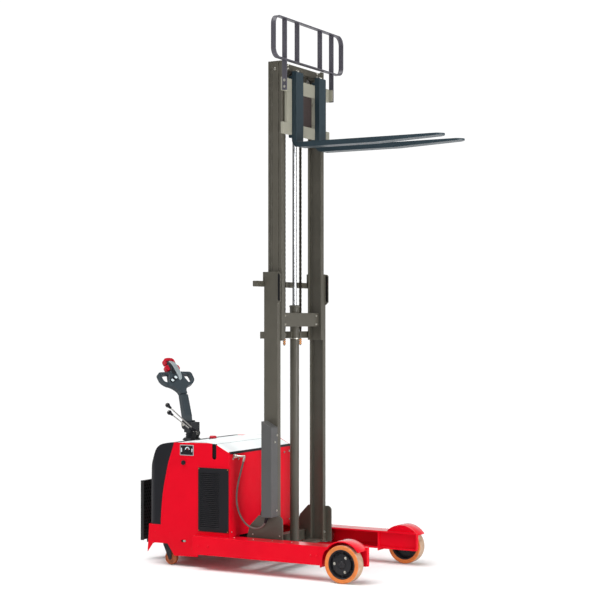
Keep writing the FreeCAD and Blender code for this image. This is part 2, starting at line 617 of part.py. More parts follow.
# ---- rider platform and casters -----------------------------------------------------------------
def platform_tray():
    """Folded-up tray: back plate, rim on all sides, tread strips and hinge knuckles."""
    top = 567
    plate = box(TRAY_X, TRAY_X + 4, -PLATFORM_HALF, PLATFORM_HALF, 140, top)
    solids = [plate]
    inside = TRAY_X + 4
    rim = inside + 22
    for y in (-PLATFORM_HALF, PLATFORM_HALF - 5):
        solids.append(box(inside, rim, y, y + 5, 140, top))
    solids.append(box(inside, rim, -PLATFORM_HALF + 5, PLATFORM_HALF - 5, top - 5, top))
    solids.append(box(inside, inside + 4, -PLATFORM_HALF + 12, PLATFORM_HALF - 12, 160, top - 14))
    for side in (-1, 1):
        low, high = sorted((side * 187, side * 242))
        barrel = rod((HINGE_X, low, HINGE_Z), (HINGE_X, high, HINGE_Z), 16)
        strap = side_prism([(TRAY_X, 140), (TRAY_X, 118), (HINGE_X - 8, 114), (HINGE_X, 145),
                            (TRAY_X + 6, 150)], low, high)
        bore = rod((HINGE_X, low - 5, HINGE_Z), (HINGE_X, high + 5, HINGE_Z), 8 + RUNNING)
        solids.append(fused(barrel, strap).cut(bore).cut(plate))
    return solids


def caster_fork(side):
    """Swivel stem, raceway plate, two arms and the axle pin."""
    x, y = CASTER_X, side * CASTER_Y
    stem = rod((x, y, CASTER_TOP - 12), (x, y, CASTER_TOP + 8), 12)
    race = rod((x, y, CASTER_TOP - 14), (x, y, CASTER_TOP - 0.3), 38)
    crown = box(x - 26, x + 34, y - CASTER_HALF - 9, y + CASTER_HALF + 9, CASTER_TOP - 22, CASTER_TOP - 14)
    wheel_x = x + CASTER_TRAIL
    arm = side_prism([(x - 24, CASTER_TOP - 22), (wheel_x - 14, CASTER_R - 3),
                      (wheel_x, CASTER_R - 15, "via"), (wheel_x + 14, CASTER_R - 3),
                      (x + 34, CASTER_TOP - 22)], y - CASTER_HALF - 9, y - CASTER_HALF - 4)
    other = arm.copy()
    other.translate(Vector(0, 2 * CASTER_HALF + 13, 0))
    pin = rod((wheel_x, y - CASTER_HALF - 12, CASTER_R), (wheel_x, y + CASTER_HALF + 12, CASTER_R), 6)
    return fused(stem, race, crown, arm, other, pin)


def caster_wheel(side):
    bore, half = 6 + RUNNING, CASTER_HALF
    profile = [(bore, -half - 2), (16, -half - 2), (20, -10), (38, -10), (40, -half), (46, -half),
               (CASTER_R, 0, "via"), (46, half), (40, half), (38, 10), (20, 10), (16, half + 2),
               (bore, half + 2)]
    return turned(profile, (CASTER_X + CASTER_TRAIL, side * CASTER_Y, CASTER_R), (0, 1, 0))


def load_tyre():
    """Polyurethane tread of the right load wheel, with a slight crown."""
    half = (TYRE_OUT - TYRE_IN) / 2
    profile = [(RIM_R, -half + 3), (LOAD_R - 9, -half), (LOAD_R - 2, -half + 3, "via"),
               (LOAD_R - 0.6, -half + 9), (LOAD_R, 0, "via"), (LOAD_R - 0.6, half - 9),
               (LOAD_R - 2, half - 3, "via"), (LOAD_R - 9, half), (RIM_R, half - 3)]
    return turned(profile, (LOAD_X, -(TYRE_IN + TYRE_OUT) / 2, LOAD_R), (0, 1, 0))


def load_rim():
    """Cast rim of the right load wheel: barrel, recessed web and hub."""
    profile = [(STUB_R + RUNNING, -28), (40, -28), (46, -8), (80, -6), (86, -34), (RIM_R, -36), (RIM_R, 36),
               (86, 34), (80, 6), (46, 8), (40, 40), (STUB_R + RUNNING, 40)]
    return turned(profile, (LOAD_X, -(TYRE_IN + TYRE_OUT) / 2, LOAD_R), (0, 1, 0))


# ---- outer mast ---------------------------------------------------------------------------------
def channel(rear, front, outer, flange, plate, z0, z1):
    """A right-hand upright, open towards the middle: a web with rounded outer edges and two flanges."""
    web = box(rear, front, -outer, -outer + 10, z0, z1)
    web = rounded(web, 5, lambda e: edge_axis(e, "Z") and e.CenterOfMass.y < -outer + 1)
    rear_flange = box(rear, rear + plate, -outer + 10, -outer + flange, z0, z1)
    front_flange = box(front - plate, front, -outer + 10, -outer + flange, z0, z1)
    return [web, rear_flange, front_flange]


def outer_upright():
    return channel(MAST_REAR, MAST_FRONT, MAST_HALF, MAST_FLANGE, MAST_PLATE, MAST_FOOT, MAST_TOP)


def base_plate():
    """Right side plate at the foot of the mast, between the legs, with its two roller studs."""
    plate = side_prism([(-195, 130), (-195, 240), (-173, 312), (-104, 383), (40, 382), (72, 376, "via"),
                        (83, 350), (83, 130)], -356, -MAST_HALF)
    studs = [rod((x, -356, REACH_Z), (x, -426, REACH_Z), 14) for x in REACH_ROLLER_X]
    return fused(plate, *studs)


def outer_crossmembers():
    plate = base_plate()
    foot = box(MAST_REAR, MAST_FRONT, -MAST_HALF, MAST_HALF, 130, MAST_FOOT)
    foot = foot.cut(box(24, MAST_FRONT + 1, -290, 290, 120, MAST_FOOT + 1))
    tie = box(-180, -120, -MAST_HALF, MAST_HALF, 135, 205)
    tie_eye = tie.cut(rod((-181, 0, REACH_Z), (-150, 0, REACH_Z), 15.0))
    top_bar = rounded(box(-110, MAST_REAR, -425, MAST_HALF, 1946, 1985), 3, lambda e: edge_axis(e, "Y"))
    cheek = box(MAST_REAR - 8, MAST_REAR, -MAST_HALF, -MAST_HALF + 70, 1985, 2047)
    clamp = box(-100, MAST_REAR - 2, -MAST_HALF, MAST_HALF, 1590, 1638)
    side_lug = box(MAST_REAR - 2, MAST_REAR, -MAST_HALF, -MAST_HALF + 36, 1590, 1638)
    saddle = box(MAST_REAR - 2, CYL_X, -44, 44, 1592, 1636)
    saddle = saddle.cut(rod((CYL_X, 0, 1580), (CYL_X, 0, 1650), CYL_R))
    solids = [plate, mirrored(plate), foot, tie_eye, top_bar, cheek, mirrored(cheek), clamp, side_lug,
              mirrored(side_lug), saddle]
    for side in (-1, 1):
        y = side * CHAIN_Y
        arm = box(MAST_REAR - 2, -32, y - 14, y + 14, 1604, 1624)
        bolt = rod((-40, y, 1540), (-40, y, 1640), 6)
        nut = rod((-40, y, 1590), (-40, y, 1604), 10)
        solids.append(fused(arm, bolt, nut))
    gusset = side_prism([(MAST_FRONT, 1826), (MAST_FRONT + 21, 1846), (MAST_FRONT + 21, 2030),
                         (MAST_FRONT + 15, 2041, "via"), (MAST_FRONT, 2044)], -349, -341)
    tab = box(MAST_FRONT - 4, MAST_FRONT, -349, -MAST_HALF, 1826, 2044)
    guide = fused(gusset, tab)
    return solids + [guide, mirrored(guide)]


def lift_cylinder():
    """Barrel with its foot and the gland nut on top."""
    barrel = rod((CYL_X, 0, MAST_FOOT), (CYL_X, 0, CYL_HEAD_Z), CYL_R)
    barrel = barrel.cut(rod((CYL_X, 0, 165), (CYL_X, 0, CYL_HEAD_Z + 1), CYL_BORE))
    head = tube((CYL_X, 0, CYL_HEAD_Z), (CYL_X, 0, 1813), CYL_R + 2, ROD_R + RUNNING)
    return [barrel, head]


def mast_cover():
    """Box cover with a sloping top, beside the right upright, and the gland of the hose under it."""
    outline = [(-40, 384), (-40, 1031), (40, 990), (40, 384)]
    shell = side_prism(outline, -430, -MAST_HALF)
    inner = side_prism([(-36, 388), (-36, 1025), (36, 984), (36, 388)], -426, -MAST_HALF)
    shell = rounded(shell.cut(inner), 3, lambda e: edge_axis(e, "Z") and e.CenterOfMass.y < -429)
    return fused(shell, rod((-20, -386, 376), (-20, -386, 386), 14))


def reach_rod():
    """Piston and rod of the reach cylinder, pinned to the mast's tie."""
    bar = rod((-652, 0, REACH_Z), (-150, 0, REACH_Z), 15)
    piston = rod((-652, 0, REACH_Z), (-632, 0, REACH_Z), 24 - RUNNING)
    return fused(bar, piston)


def roller(x, z, y_low, y_high, radius, bore):
    """One mast roller on a stud along Y."""
    half = (y_high - y_low) / 2
    profile = [(bore + RUNNING, -half), (radius - 2, -half), (radius, -half + 2), (radius, half - 2),
               (radius - 2, half), (bore + RUNNING, half)]
    return turned(profile, (x, (y_low + y_high) / 2, z), (0, 1, 0))


def reach_rollers(x):
    one = roller(x, REACH_Z, -424, -372, REACH_ROLLER_R, 14)
    return [one, mirrored(one)]


# ---- inner mast ---------------------------------------------------------------------------------
def inner_upright():
    return channel(INNER_REAR, INNER_FRONT, INNER_HALF, INNER_FLANGE, MAST_PLATE, INNER_FOOT, INNER_TOP)


INNER_ROLLER_Z, CARRIAGE_ROLLER_Z = 1636.0, 3105.0
OUTER_MID, INNER_MID = (MAST_REAR + MAST_FRONT) / 2, (INNER_REAR + INNER_FRONT) / 2


def inner_crossmembers():
    """Top and lower ties, pulley cheeks with their shafts, and the studs of the lower rollers."""
    inside = INNER_HALF - INNER_FLANGE
    top = box(-50, 44, -inside, inside, 3440, 3485)
    top = rounded(top, 4, lambda e: edge_axis(e, "Y"))
    lower = rounded(box(12, 28, -inside, inside, 1672, 1768), 3, lambda e: edge_axis(e, "Y"))
    solids = [top, lower]
    for side in (-1, 1):
        cheeks = []
        for y in (CHAIN_Y - 20, CHAIN_Y + 14):
            low, high = sorted((side * y, side * (y + 6)))
            cheeks.append(box(-16, 16, low, high, PULLEY_Z - 16, 3440))
        low, high = sorted((side * (CHAIN_Y - 22), side * (CHAIN_Y + 22)))
        shaft = rod((0, low, PULLEY_Z), (0, high, PULLEY_Z), PULLEY_SHAFT_R)
        solids.append(fused(cheeks[0], cheeks[1], shaft))
        low, high = sorted((side * INNER_HALF, side * 331))
        solids.append(rod((OUTER_MID, low, INNER_ROLLER_Z), (OUTER_MID, high, INNER_ROLLER_Z), 12))
    return solids


def piston_rod():
    """Chromed rod with its piston, up to the inner mast's top tie."""
    bar = rod((CYL_X, 0, 1640), (CYL_X, 0, 3440), ROD_R)
    piston = rod((CYL_X, 0, 1640), (CYL_X, 0, 1670), CYL_BORE - RUNNING)
    return fused(bar, piston)


def chain_pulleys():
    """Two flanged chain pulleys on one axis."""
    half = CHAIN_WIDE / 2 + 1
    bore, flange = PULLEY_SHAFT_R + RUNNING, PULLEY_R + 9
    profile = [(bore, -half - 3), (flange, -half - 3), (flange, -half), (PULLEY_R, -half), (PULLEY_R, half),
               (flange, half), (flange, half + 3), (bore, half + 3)]
    return [turned(profile, (0, side * CHAIN_Y, PULLEY_Z), (0, 1, 0)) for side in (-1, 1)]


def inner_rollers():
    one = roller(OUTER_MID, INNER_ROLLER_Z, -331, -307, 43, 12)
    return [one, mirrored(one)]


# ---- carriage -----------------------------------------------------------------------------------
def carriage_frame():
    """Two cross-bars, two roller plates slotted to pass the inner mast's tie, end lugs and the chain lugs."""
    solids = []
    for z0, z1 in (UPPER_BAR_Z, LOWER_BAR_Z):
        bar = box(BAR_BACK, BAR_FRONT, -BAR_HALF, BAR_HALF, z0, z1)
        solids.append(rounded(bar, 3, lambda e: edge_axis(e, "Y")))
    for side in (-1, 1):
        low, high = sorted((side * 244, side * 256))
        plate = side_prism([(BAR_BACK, 3010), (30, 3010), (30, 3215), (10, 3215), (10, 3065), (-20, 3065),
                            (-50, 3093), (-50, 3330), (-20, 3360), (BAR_BACK, 3360)], low, high)
        outer, inner = side * 291, side * 250
        stud = rod((INNER_MID, inner, CARRIAGE_ROLLER_Z), (INNER_MID, outer, CARRIAGE_ROLLER_Z), 13)
        solids.append(fused(plate, stud))
        low, high = sorted((side * 326, side * BAR_HALF))
        solids.append(box(BAR_FRONT, 104, low, high, 3290, 3371))
        low, high = sorted((side * 196, side * 282))
        solids.append(box(BAR_BACK, BAR_FRONT, low, high, LOWER_BAR_Z[1], UPPER_BAR_Z[0]))
        y = side * CHAIN_Y
        lug = fused(box(30, BAR_BACK, y - 13, y + 13, 3030, 3050), rod((40, y, 3010), (40, y, 3072), 6))
        solids.append(lug)
    return solids


def carriage_rollers():
    one = roller(INNER_MID, CARRIAGE_ROLLER_Z, -290, -264, 43, 13)
    return [one, mirrored(one)]


def fork():
    """The right fork: forged shank with hooks, heel bend and tapered, rounded blade."""
    back, front = BAR_FRONT + 0.3, BAR_FRONT + FORK_THICK
    under = BLADE_TOP - FORK_THICK
    profile = [
        (back, SHANK_TOP), (back, under + 50), (back + 15, under + 15, "via"), (back + 50, under),
        (700, under), (FORK_TIP_X - 4, BLADE_TOP - 13), (FORK_TIP_X, BLADE_TOP - 7, "via"),
        (FORK_TIP_X - 4, BLADE_TOP), (front + 16, BLADE_TOP), (front + 5, BLADE_TOP + 5, "via"),
        (front, BLADE_TOP + 16), (front, SHANK_TOP - 6), (front - 6, SHANK_TOP)]
    y0, y1 = -FORK_Y - FORK_WIDE / 2, -FORK_Y + FORK_WIDE / 2
    blank = side_prism(profile, y0, y1)
    half = FORK_WIDE / 2
    tip = 120
    plan = Part.Face(Part.Wire([
        Part.makeLine(Vector(0, -half, 0), Vector(FORK_TIP_X - tip, -half, 0)),
        Part.Arc(Vector(FORK_TIP_X - tip, -half, 0), Vector(FORK_TIP_X - 18, -half * 0.62, 0),
                 Vector(FORK_TIP_X, 0, 0)).toShape(),
        Part.Arc(Vector(FORK_TIP_X, 0, 0), Vector(FORK_TIP_X - 18, half * 0.62, 0),
                 Vector(FORK_TIP_X - tip, half, 0)).toShape(),
        Part.makeLine(Vector(FORK_TIP_X - tip, half, 0), Vector(0, half, 0)),
        Part.makeLine(Vector(0, half, 0), Vector(0, -half, 0))]))
    plan.translate(Vector(0, -FORK_Y, 2800))
    blank = blank.common(plan.extrude(Vector(0, 0, 700)))
    top_hook = box(BAR_BACK - 5, back, y0, y1, UPPER_BAR_Z[1] + 0.3, UPPER_BAR_Z[1] + 20)
    top_lip = box(BAR_BACK - 5, BAR_BACK - 0.4, y0, y1, UPPER_BAR_Z[1] - 12, UPPER_BAR_Z[1] + 0.3)
    low_hook = box(BAR_BACK - 5, back, y0, y1, LOWER_BAR_Z[0] - 18, LOWER_BAR_Z[0] - 0.3)
    low_lip = box(BAR_BACK - 5, BAR_BACK - 0.4, y0, y1, LOWER_BAR_Z[0] - 0.3, LOWER_BAR_Z[0] + 12)
    lock_pin = rod((BAR_FRONT + 17, -FORK_Y, SHANK_TOP), (BAR_FRONT + 17, -FORK_Y, SHANK_TOP + 10), 9)
    return fused(blank, top_hook, top_lip, low_hook, low_lip, lock_pin)


def load_backrest():
    """Flat bar bent into a rounded frame, with four upright bars; the outer two reach the carriage."""
    x0, x1 = REST_BACK, REST_BACK + REST_WIDE
    z0, z1 = REST_Z

    def ring(inset, low, high):
        block = box(low, high, -REST_HALF + inset, REST_HALF - inset, z0 + inset, z1 - inset)
        return rounded(block, REST_CORNER - inset, lambda e: edge_axis(e, "X"))
    frame = ring(0, x0, x1).cut(ring(REST_THICK, x0 - 1, x1 + 1))
    solids = [frame]
    for side in (-1, 1):
        low, high = sorted((side * BAR_HALF, side * (BAR_HALF + REST_THICK)))
        inside = box(x0, x1, low, high, z0 + REST_THICK, z1 - REST_THICK)
        below = box(x0, x1, low, high, 3284, z0)
        middle_low, middle_high = sorted((side * 161, side * (161 + REST_THICK)))
        solids += [inside, below, box(x0, x1, middle_low, middle_high, z0 + REST_THICK, z1 - REST_THICK)]
    return solids


# ---- chains -------------------------------------------------------------------------------------
def chain_strand(x, z0, z1):
    """The two straight strands of the leaf chains at one side of the pulleys."""
    half_deep, half_wide = CHAIN_DEEP / 2, CHAIN_WIDE / 2
    return [box(x - half_deep, x + half_deep, side * CHAIN_Y - half_wide, side * CHAIN_Y + half_wide, z0, z1)
            for side in (-1, 1)]


def main():
    os.makedirs("parts", exist_ok=True)
    export("chassis_frame", *chassis_frame())
    export("side_panel_right", side_panel())
    export("side_panel_left", mirrored(side_panel()))
    export("leg_right", *straddle_leg())
    export("leg_left", *[mirrored(s) for s in straddle_leg()])
    export("rear_cover", rear_cover())
    export("control_deck", control_deck())
    export("battery_lid", battery_lid())
    grille = side_grille()
    export("side_grilles", grille, mirrored(grille))
    export("battery", *battery())
    export("hydraulic_unit", *hydraulic_unit())
    export("motor_controller", *motor_controller())
    export("reach_cylinder", *reach_cylinder())
    export("lever_bracket", *lever_bracket())
    export("platform_bracket", *platform_bracket())
    export("hose_elbow", hose_elbow())
    export("reach_hose", cord_tube(HOSE_ROUTE, HOSE_R, "reach hose"))
    export("emergency_stop", emergency_stop())
    export("key_switch", key_switch())
    for name, make in (("drive_gearbox", drive_gearbox), ("drive_motor", drive_motor),
                       ("drive_wheel", drive_wheel), ("tiller_column", tiller_column)):
        export(name, steered(make()))
    export("tiller_arm", steered(tiller_arm().cut(in_head(tiller_head()))))
    for name, make in (("tiller_head", tiller_head), ("throttle", throttle), ("belly_switch", belly_switch),
                       ("lift_rocker", lift_rocker)):
        export(name, steered(in_head(make())))
    export("reach_lever", hand_lever(-118, -1007, 1093))
    export("side_lever", hand_lever(-146, -972, 1043))
    export("platform_tray", *platform_tray())
    for word, side in (("right", -1), ("left", 1)):
        export("caster_fork_" + word, caster_fork(side))
        export("caster_wheel_" + word, caster_wheel(side))
    for name, make in (("load_tyre", load_tyre), ("load_rim", load_rim), ("fork", fork)):
        export(name + "_right", make())
        export(name + "_left", mirrored(make()))
    for name, make in (("outer_upright", outer_upright), ("inner_upright", inner_upright)):
        export(name + "_right", *make())
        export(name + "_left", *[mirrored(plate) for plate in make()])
    export("outer_crossmembers", *outer_crossmembers())
    export("lift_cylinder", *lift_cylinder())
    export("mast_cover", mast_cover())
    export("reach_rod", reach_rod())
    export("reach_rollers_rear", *reach_rollers(REACH_ROLLER_X[0]))
    export("reach_rollers_front", *reach_rollers(REACH_ROLLER_X[1]))
    export("inner_crossmembers", *inner_crossmembers())
    export("piston_rod", piston_rod())
    export("chain_pulleys", *chain_pulleys())
    export("inner_rollers", *inner_rollers())
    export("carriage_frame", *carriage_frame())
    export("carriage_rollers", *carriage_rollers())
    export("load_backrest", *load_backrest())
    export("chain_anchor_strands", *chain_strand(-40, 1640, PULLEY_Z))
    export("chain_carriage_strands", *chain_strand(40, 3072, PULLEY_Z))


main()
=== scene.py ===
"""Looks of the walkie reach stacker: camera, studio, materials and detail pieces round the CAD frame."""
import math

import bmesh
import bpy
from mathutils import Matrix, Vector


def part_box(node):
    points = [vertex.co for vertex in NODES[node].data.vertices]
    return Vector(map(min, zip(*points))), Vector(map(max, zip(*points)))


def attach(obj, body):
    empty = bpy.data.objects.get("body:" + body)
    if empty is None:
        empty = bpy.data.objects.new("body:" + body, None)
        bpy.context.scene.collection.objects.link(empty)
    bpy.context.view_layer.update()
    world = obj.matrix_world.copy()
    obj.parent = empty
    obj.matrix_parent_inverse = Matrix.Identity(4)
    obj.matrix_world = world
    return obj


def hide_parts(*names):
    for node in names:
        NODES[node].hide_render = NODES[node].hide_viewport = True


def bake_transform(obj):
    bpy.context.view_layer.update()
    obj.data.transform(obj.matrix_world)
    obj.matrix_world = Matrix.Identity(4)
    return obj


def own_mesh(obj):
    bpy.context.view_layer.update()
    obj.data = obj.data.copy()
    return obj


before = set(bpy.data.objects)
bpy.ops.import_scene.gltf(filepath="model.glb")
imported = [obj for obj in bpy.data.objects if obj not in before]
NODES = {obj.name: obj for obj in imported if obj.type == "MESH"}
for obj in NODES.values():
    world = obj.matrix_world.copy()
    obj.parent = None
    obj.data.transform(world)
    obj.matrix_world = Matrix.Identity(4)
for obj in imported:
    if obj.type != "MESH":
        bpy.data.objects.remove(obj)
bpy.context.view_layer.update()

RIGHT, LEFT = -1, 1
SIDES = (("right", RIGHT), ("left", LEFT))
ZERO_X = -3.8            # design X of the row frame's origin, mm
STEER_X, STEER_REST = -883.0, math.radians(-22)


def at(x, y, z):
    """A design point in millimetres as a point of the row frame in metres."""
    return Vector((x - ZERO_X, y, z)) / 1000


# ---- camera -------------------------------------------------------------------------------------
LENS_MM, SENSOR_MM = 90.34, 36.0
CAMERA_PLACE = (5.1775, -9.212, 1.698)
CAMERA_AZIMUTH, CAMERA_PITCH = math.radians(29.22), math.radians(0.87)


def make_camera():
    data = bpy.data.cameras.new("camera")
    data.lens, data.sensor_width = LENS_MM, SENSOR_MM
    data.clip_start, data.clip_end = 0.5, 200.0
    camera = bpy.data.objects.new("camera", data)
    bpy.context.collection.objects.link(camera)
    x, y, level = -math.sin(CAMERA_AZIMUTH), math.cos(CAMERA_AZIMUTH), math.cos(CAMERA_PITCH)
    look = Vector((x * level, y * level, math.sin(CAMERA_PITCH)))
    camera.location = CAMERA_PLACE
    camera.rotation_euler = look.to_track_quat("-Z", "Y").to_euler()
    bpy.context.scene.camera = camera


make_camera()


# ---- material nodes -----------------------------------------------------------------------------
def srgb(red, green, blue):
    """A display colour, 0 to 255, as linear light."""
    def linear(c):
        c /= 255
        return c / 12.92 if c <= 0.04045 else ((c + 0.055) / 1.055) ** 2.4
    return (linear(red), linear(green), linear(blue), 1.0)


def scaled(colour, k):
    """A colour made k times as bright."""
    return (min(1.0, colour[0] * k), min(1.0, colour[1] * k), min(1.0, colour[2] * k), 1.0)


class Surface:
    """A material under construction: a Principled shader, and node helpers that return sockets."""

    def __init__(self, name):
        self.material = bpy.data.materials.new(name)
        self.material.use_nodes = True
        self.tree = self.material.node_tree
        self.tree.nodes.clear()
        self.out = self.tree.nodes.new("ShaderNodeOutputMaterial")
        self.shader = self.tree.nodes.new("ShaderNodeBsdfPrincipled")
        self.tree.links.new(self.shader.outputs[0], self.out.inputs["Surface"])
        self.place = self.node("ShaderNodeTexCoord").outputs["Object"]

    def node(self, kind, **settings):
        made = self.tree.nodes.new(kind)
        for key, value in settings.items():
            setattr(made, key, value)
        return made

    def feed(self, socket, value):
        """Links an input to another node's output, or sets it to a plain value."""
        if isinstance(value, bpy.types.NodeSocket):
            self.tree.links.new(value, socket)
        else:
            socket.default_value = value

    def put(self, made, **inputs):
        """Feeds inputs by name, with _ for a space."""
        for key, value in inputs.items():
            self.feed(made.inputs[key.replace("_", " ")], value)
        return made

    def stretched(self, x, y, z):
        """Object coordinates scaled by a factor along each axis."""
        made = self.put(self.node("ShaderNodeMapping"), Vector=self.place, Scale=(x, y, z))
        return made.outputs[0]

    def noise(self, scale, detail=4.0, rough=0.55, place=None):
        made = self.node("ShaderNodeTexNoise")
        self.put(made, Vector=place or self.place, Scale=scale, Detail=detail, Roughness=rough)
        return made.outputs["Fac"]

    def cells(self, scale):
        made = self.put(self.node("ShaderNodeTexVoronoi"), Vector=self.place, Scale=scale)
        return made.outputs["Distance"]

    def remap(self, value, low, high, to_low=0.0, to_high=1.0):
        made = self.node("ShaderNodeMapRange")
        self.put(made, Value=value, From_Min=low, From_Max=high, To_Min=to_low, To_Max=to_high)
        return made.outputs[0]

    def math(self, operation, a, b):
        made = self.node("ShaderNodeMath", operation=operation, use_clamp=True)
        for i, value in enumerate((a, b)):
            self.feed(made.inputs[i], value)
        return made.outputs[0]

    def mix(self, factor, a, b):
        made = self.node("ShaderNodeMix", data_type="RGBA")
        for i, value in ((0, factor), (6, a), (7, b)):      # the colour sockets of the node
            self.feed(made.inputs[i], value)
        return made.outputs[2]

    def bump(self, height, strength, depth_mm):
        made = self.node("ShaderNodeBump")
        self.put(made, Height=height, Strength=strength, Distance=depth_mm / 1000)
        return made.outputs[0]

    def edges(self, radius_mm):
        """1 on an edge and 0 away from it."""
        on_edge, on_flat = 0.80, 0.995
        bevel = self.put(self.node("ShaderNodeBevel", samples=4), Radius=radius_mm / 1000)
        plain = self.node("ShaderNodeNewGeometry").outputs["Normal"]
        dot = self.node("ShaderNodeVectorMath", operation="DOT_PRODUCT")
        self.feed(dot.inputs[0], bevel.outputs[0])
        self.feed(dot.inputs[1], plain)
        return self.remap(dot.outputs["Value"], on_flat, on_edge)

    def upward(self, vector):
        """The Z part of a vector socket."""
        return self.put(self.node("ShaderNodeSeparateXYZ"), Vector=vector).outputs["Z"]


def painted(name, colour, rough, worn, wear, peel=0.05, mottle=0.05, dusty=0.0, specular=0.4, top_sheen=0.0):
    """Powder-coated steel: orange peel, slow colour drift, rubbed edges and dust low down.

    A painted sheen: clear lacquer is laid on level tops only, so that they mirror the bright studio like lit
    tops."""
    s = Surface(name)
    drift = s.noise(3.5, 5.0)
    tone = s.mix(s.remap(drift, 0.3, 0.7), scaled(colour, 1 - mottle), scaled(colour, 1 + mottle))
    smudge = s.noise(22, 6.0, 0.65)
    rub = s.math("MULTIPLY", s.edges(2.5), s.remap(smudge, 0.42, 0.62, 0.0, wear))
    tone = s.mix(rub, tone, worn)
    if dusty:
        low = s.remap(s.upward(s.place), 0.30, 0.02, 0.0, dusty)
        film = s.math("MULTIPLY", low, s.remap(s.noise(14, 8.0, 0.7), 0.35, 0.75))
        tone = s.mix(film, tone, srgb(120, 104, 90))
    gloss = s.remap(smudge, 0.25, 0.75, rough - 0.06, rough + 0.08)
    relief = s.bump(s.noise(330, 2.0), peel, 0.25)
    s.put(s.shader, Base_Color=tone, Roughness=gloss, Normal=relief, Specular_IOR_Level=specular)
    # Painted sheen: the lacquer's weight follows how far a face points up, so level tops shine as if lit.
    if top_sheen:
        level = s.upward(s.node("ShaderNodeNewGeometry").outputs["Normal"])
        s.put(s.shader, Coat_Weight=s.remap(level, 0.3, 0.9, 0.0, top_sheen), Coat_Roughness=0.1)
    return s.material


def moulded(name, colour, rough, grain=0.25, mottle=0.06, specular=0.4, rubbed=1.5):
    """Moulded plastic: leather-like grain, handled edges, faint scuffs."""
    s = Surface(name)
    tone = s.mix(s.remap(s.noise(9, 4.0), 0.3, 0.7), scaled(colour, 1 - mottle), scaled(colour, 1 + mottle))
    scuff = s.noise(60, 6.0, 0.7, s.stretched(1.0, 1.0, 0.25))
    rub = s.math("MULTIPLY", s.edges(2.0), s.remap(scuff, 0.45, 0.65, 0.0, 0.5))
    tone = s.mix(rub, tone, scaled(colour, rubbed))
    gloss = s.remap(scuff, 0.3, 0.7, rough - 0.05, rough + 0.09)
    relief = s.bump(s.cells(1100), grain, 0.15)
    s.put(s.shader, Base_Color=tone, Roughness=gloss, Normal=relief, Specular_IOR_Level=specular)
    return s.material


def metal(name, colour, rough, across=(1.0, 1.0, 14.0), marks=0.12, bite=0.12, stain=None):
    """Bare or plated metal with fine directional marks; across squeezes the marks along an axis."""
    s = Surface(name)
    lines = s.noise(160, 5.0, 0.7, s.stretched(*across))
    cloud = s.noise(18, 5.0)
    tone = s.mix(s.remap(cloud, 0.35, 0.7), colour, stain or scaled(colour, 0.8))
    gloss = s.remap(lines, 0.25, 0.75, max(0.03, rough - marks), rough + marks)
    s.put(s.shader, Base_Color=tone, Roughness=gloss, Normal=s.bump(lines, bite, 0.08), Metallic=1.0)
    return s.material


def elastic(name, colour, rough, dirt, amount):
    """Cast polyurethane or rubber with ground-in dirt and small nicks."""
    s = Surface(name)
    grime = s.noise(26, 8.0, 0.68)
    tone = s.mix(s.remap(grime, 0.40, 0.75, 0.0, amount), colour, dirt)
    gloss = s.remap(grime, 0.3, 0.7, rough - 0.06, rough + 0.14)
    nicks = s.bump(s.noise(240, 3.0), 0.22, 0.3)
    s.put(s.shader, Base_Color=tone, Roughness=gloss, Normal=nicks, Specular_IOR_Level=0.35)
    return s.material


def hose_skin(name, colour):
    """Hose cover with the braid's pattern showing through."""
    s = Surface(name)
    wave = s.node("ShaderNodeTexWave", bands_direction="DIAGONAL")
    s.put(wave, Vector=s.place, Scale=210.0, Distortion=0.6)
    tone = s.mix(s.remap(s.noise(30, 5.0), 0.3, 0.7), scaled(colour, 0.8), scaled(colour, 1.15))
    s.put(s.shader, Base_Color=tone, Roughness=s.remap(s.noise(50), 0.3, 0.7, 0.42, 0.6),
          Normal=s.bump(wave.outputs["Fac"], 0.3, 0.25))
    return s.material


RED = painted("red_coat", srgb(224, 1, 32), 0.46, srgb(255, 120, 120), 0.2, dusty=0.06, specular=0.08,
              top_sheen=1.0)
MAST = painted("mast_coat", srgb(78, 75, 66), 0.42, srgb(186, 182, 170), 0.6, peel=0.07, mottle=0.1)
KHAKI = painted("carriage_coat", srgb(150, 148, 134), 0.5, srgb(206, 204, 190), 0.4, mottle=0.06)
# Dark brown that is painted shade: it stands for the parts lying in shade between the forks.
BROWN_SHADE = painted("brown_shade_coat", srgb(62, 52, 50), 0.5, srgb(150, 140, 132), 0.5)
COVER = painted("cover_coat", srgb(80, 80, 80), 0.46, srgb(190, 190, 184), 0.6, peel=0.06, specular=0.3,
                top_sheen=0.8)
FORKS = painted("fork_coat", srgb(36, 52, 60), 0.4, srgb(128, 140, 146), 0.3, mottle=0.1, top_sheen=0.5)
REST = painted("rest_coat", srgb(78, 76, 84), 0.42, srgb(190, 188, 192), 0.5)
BLACK_STEEL = painted("black_coat", srgb(30, 30, 32), 0.5, srgb(110, 108, 104), 0.5, dusty=0.1, specular=0.3)
SHELL = moulded("black_shell", srgb(19, 20, 26), 0.46, specular=0.22)
LOUVRE = moulded("louvre_black", srgb(14, 14, 20), 0.4, grain=0.12, specular=0.25)
HOOD = moulded("pale_hood", srgb(236, 241, 241), 0.42, grain=0.1, mottle=0.02, rubbed=0.86)
TILLER = moulded("tiller_grey", srgb(52, 62, 68), 0.4, rubbed=1.9)
# Black parts of the tiller and column, and also the painted shade on the left half of the head's crown.
TILLER_DARK = moulded("tiller_black_and_shade", srgb(28, 31, 36), 0.48, specular=0.3)
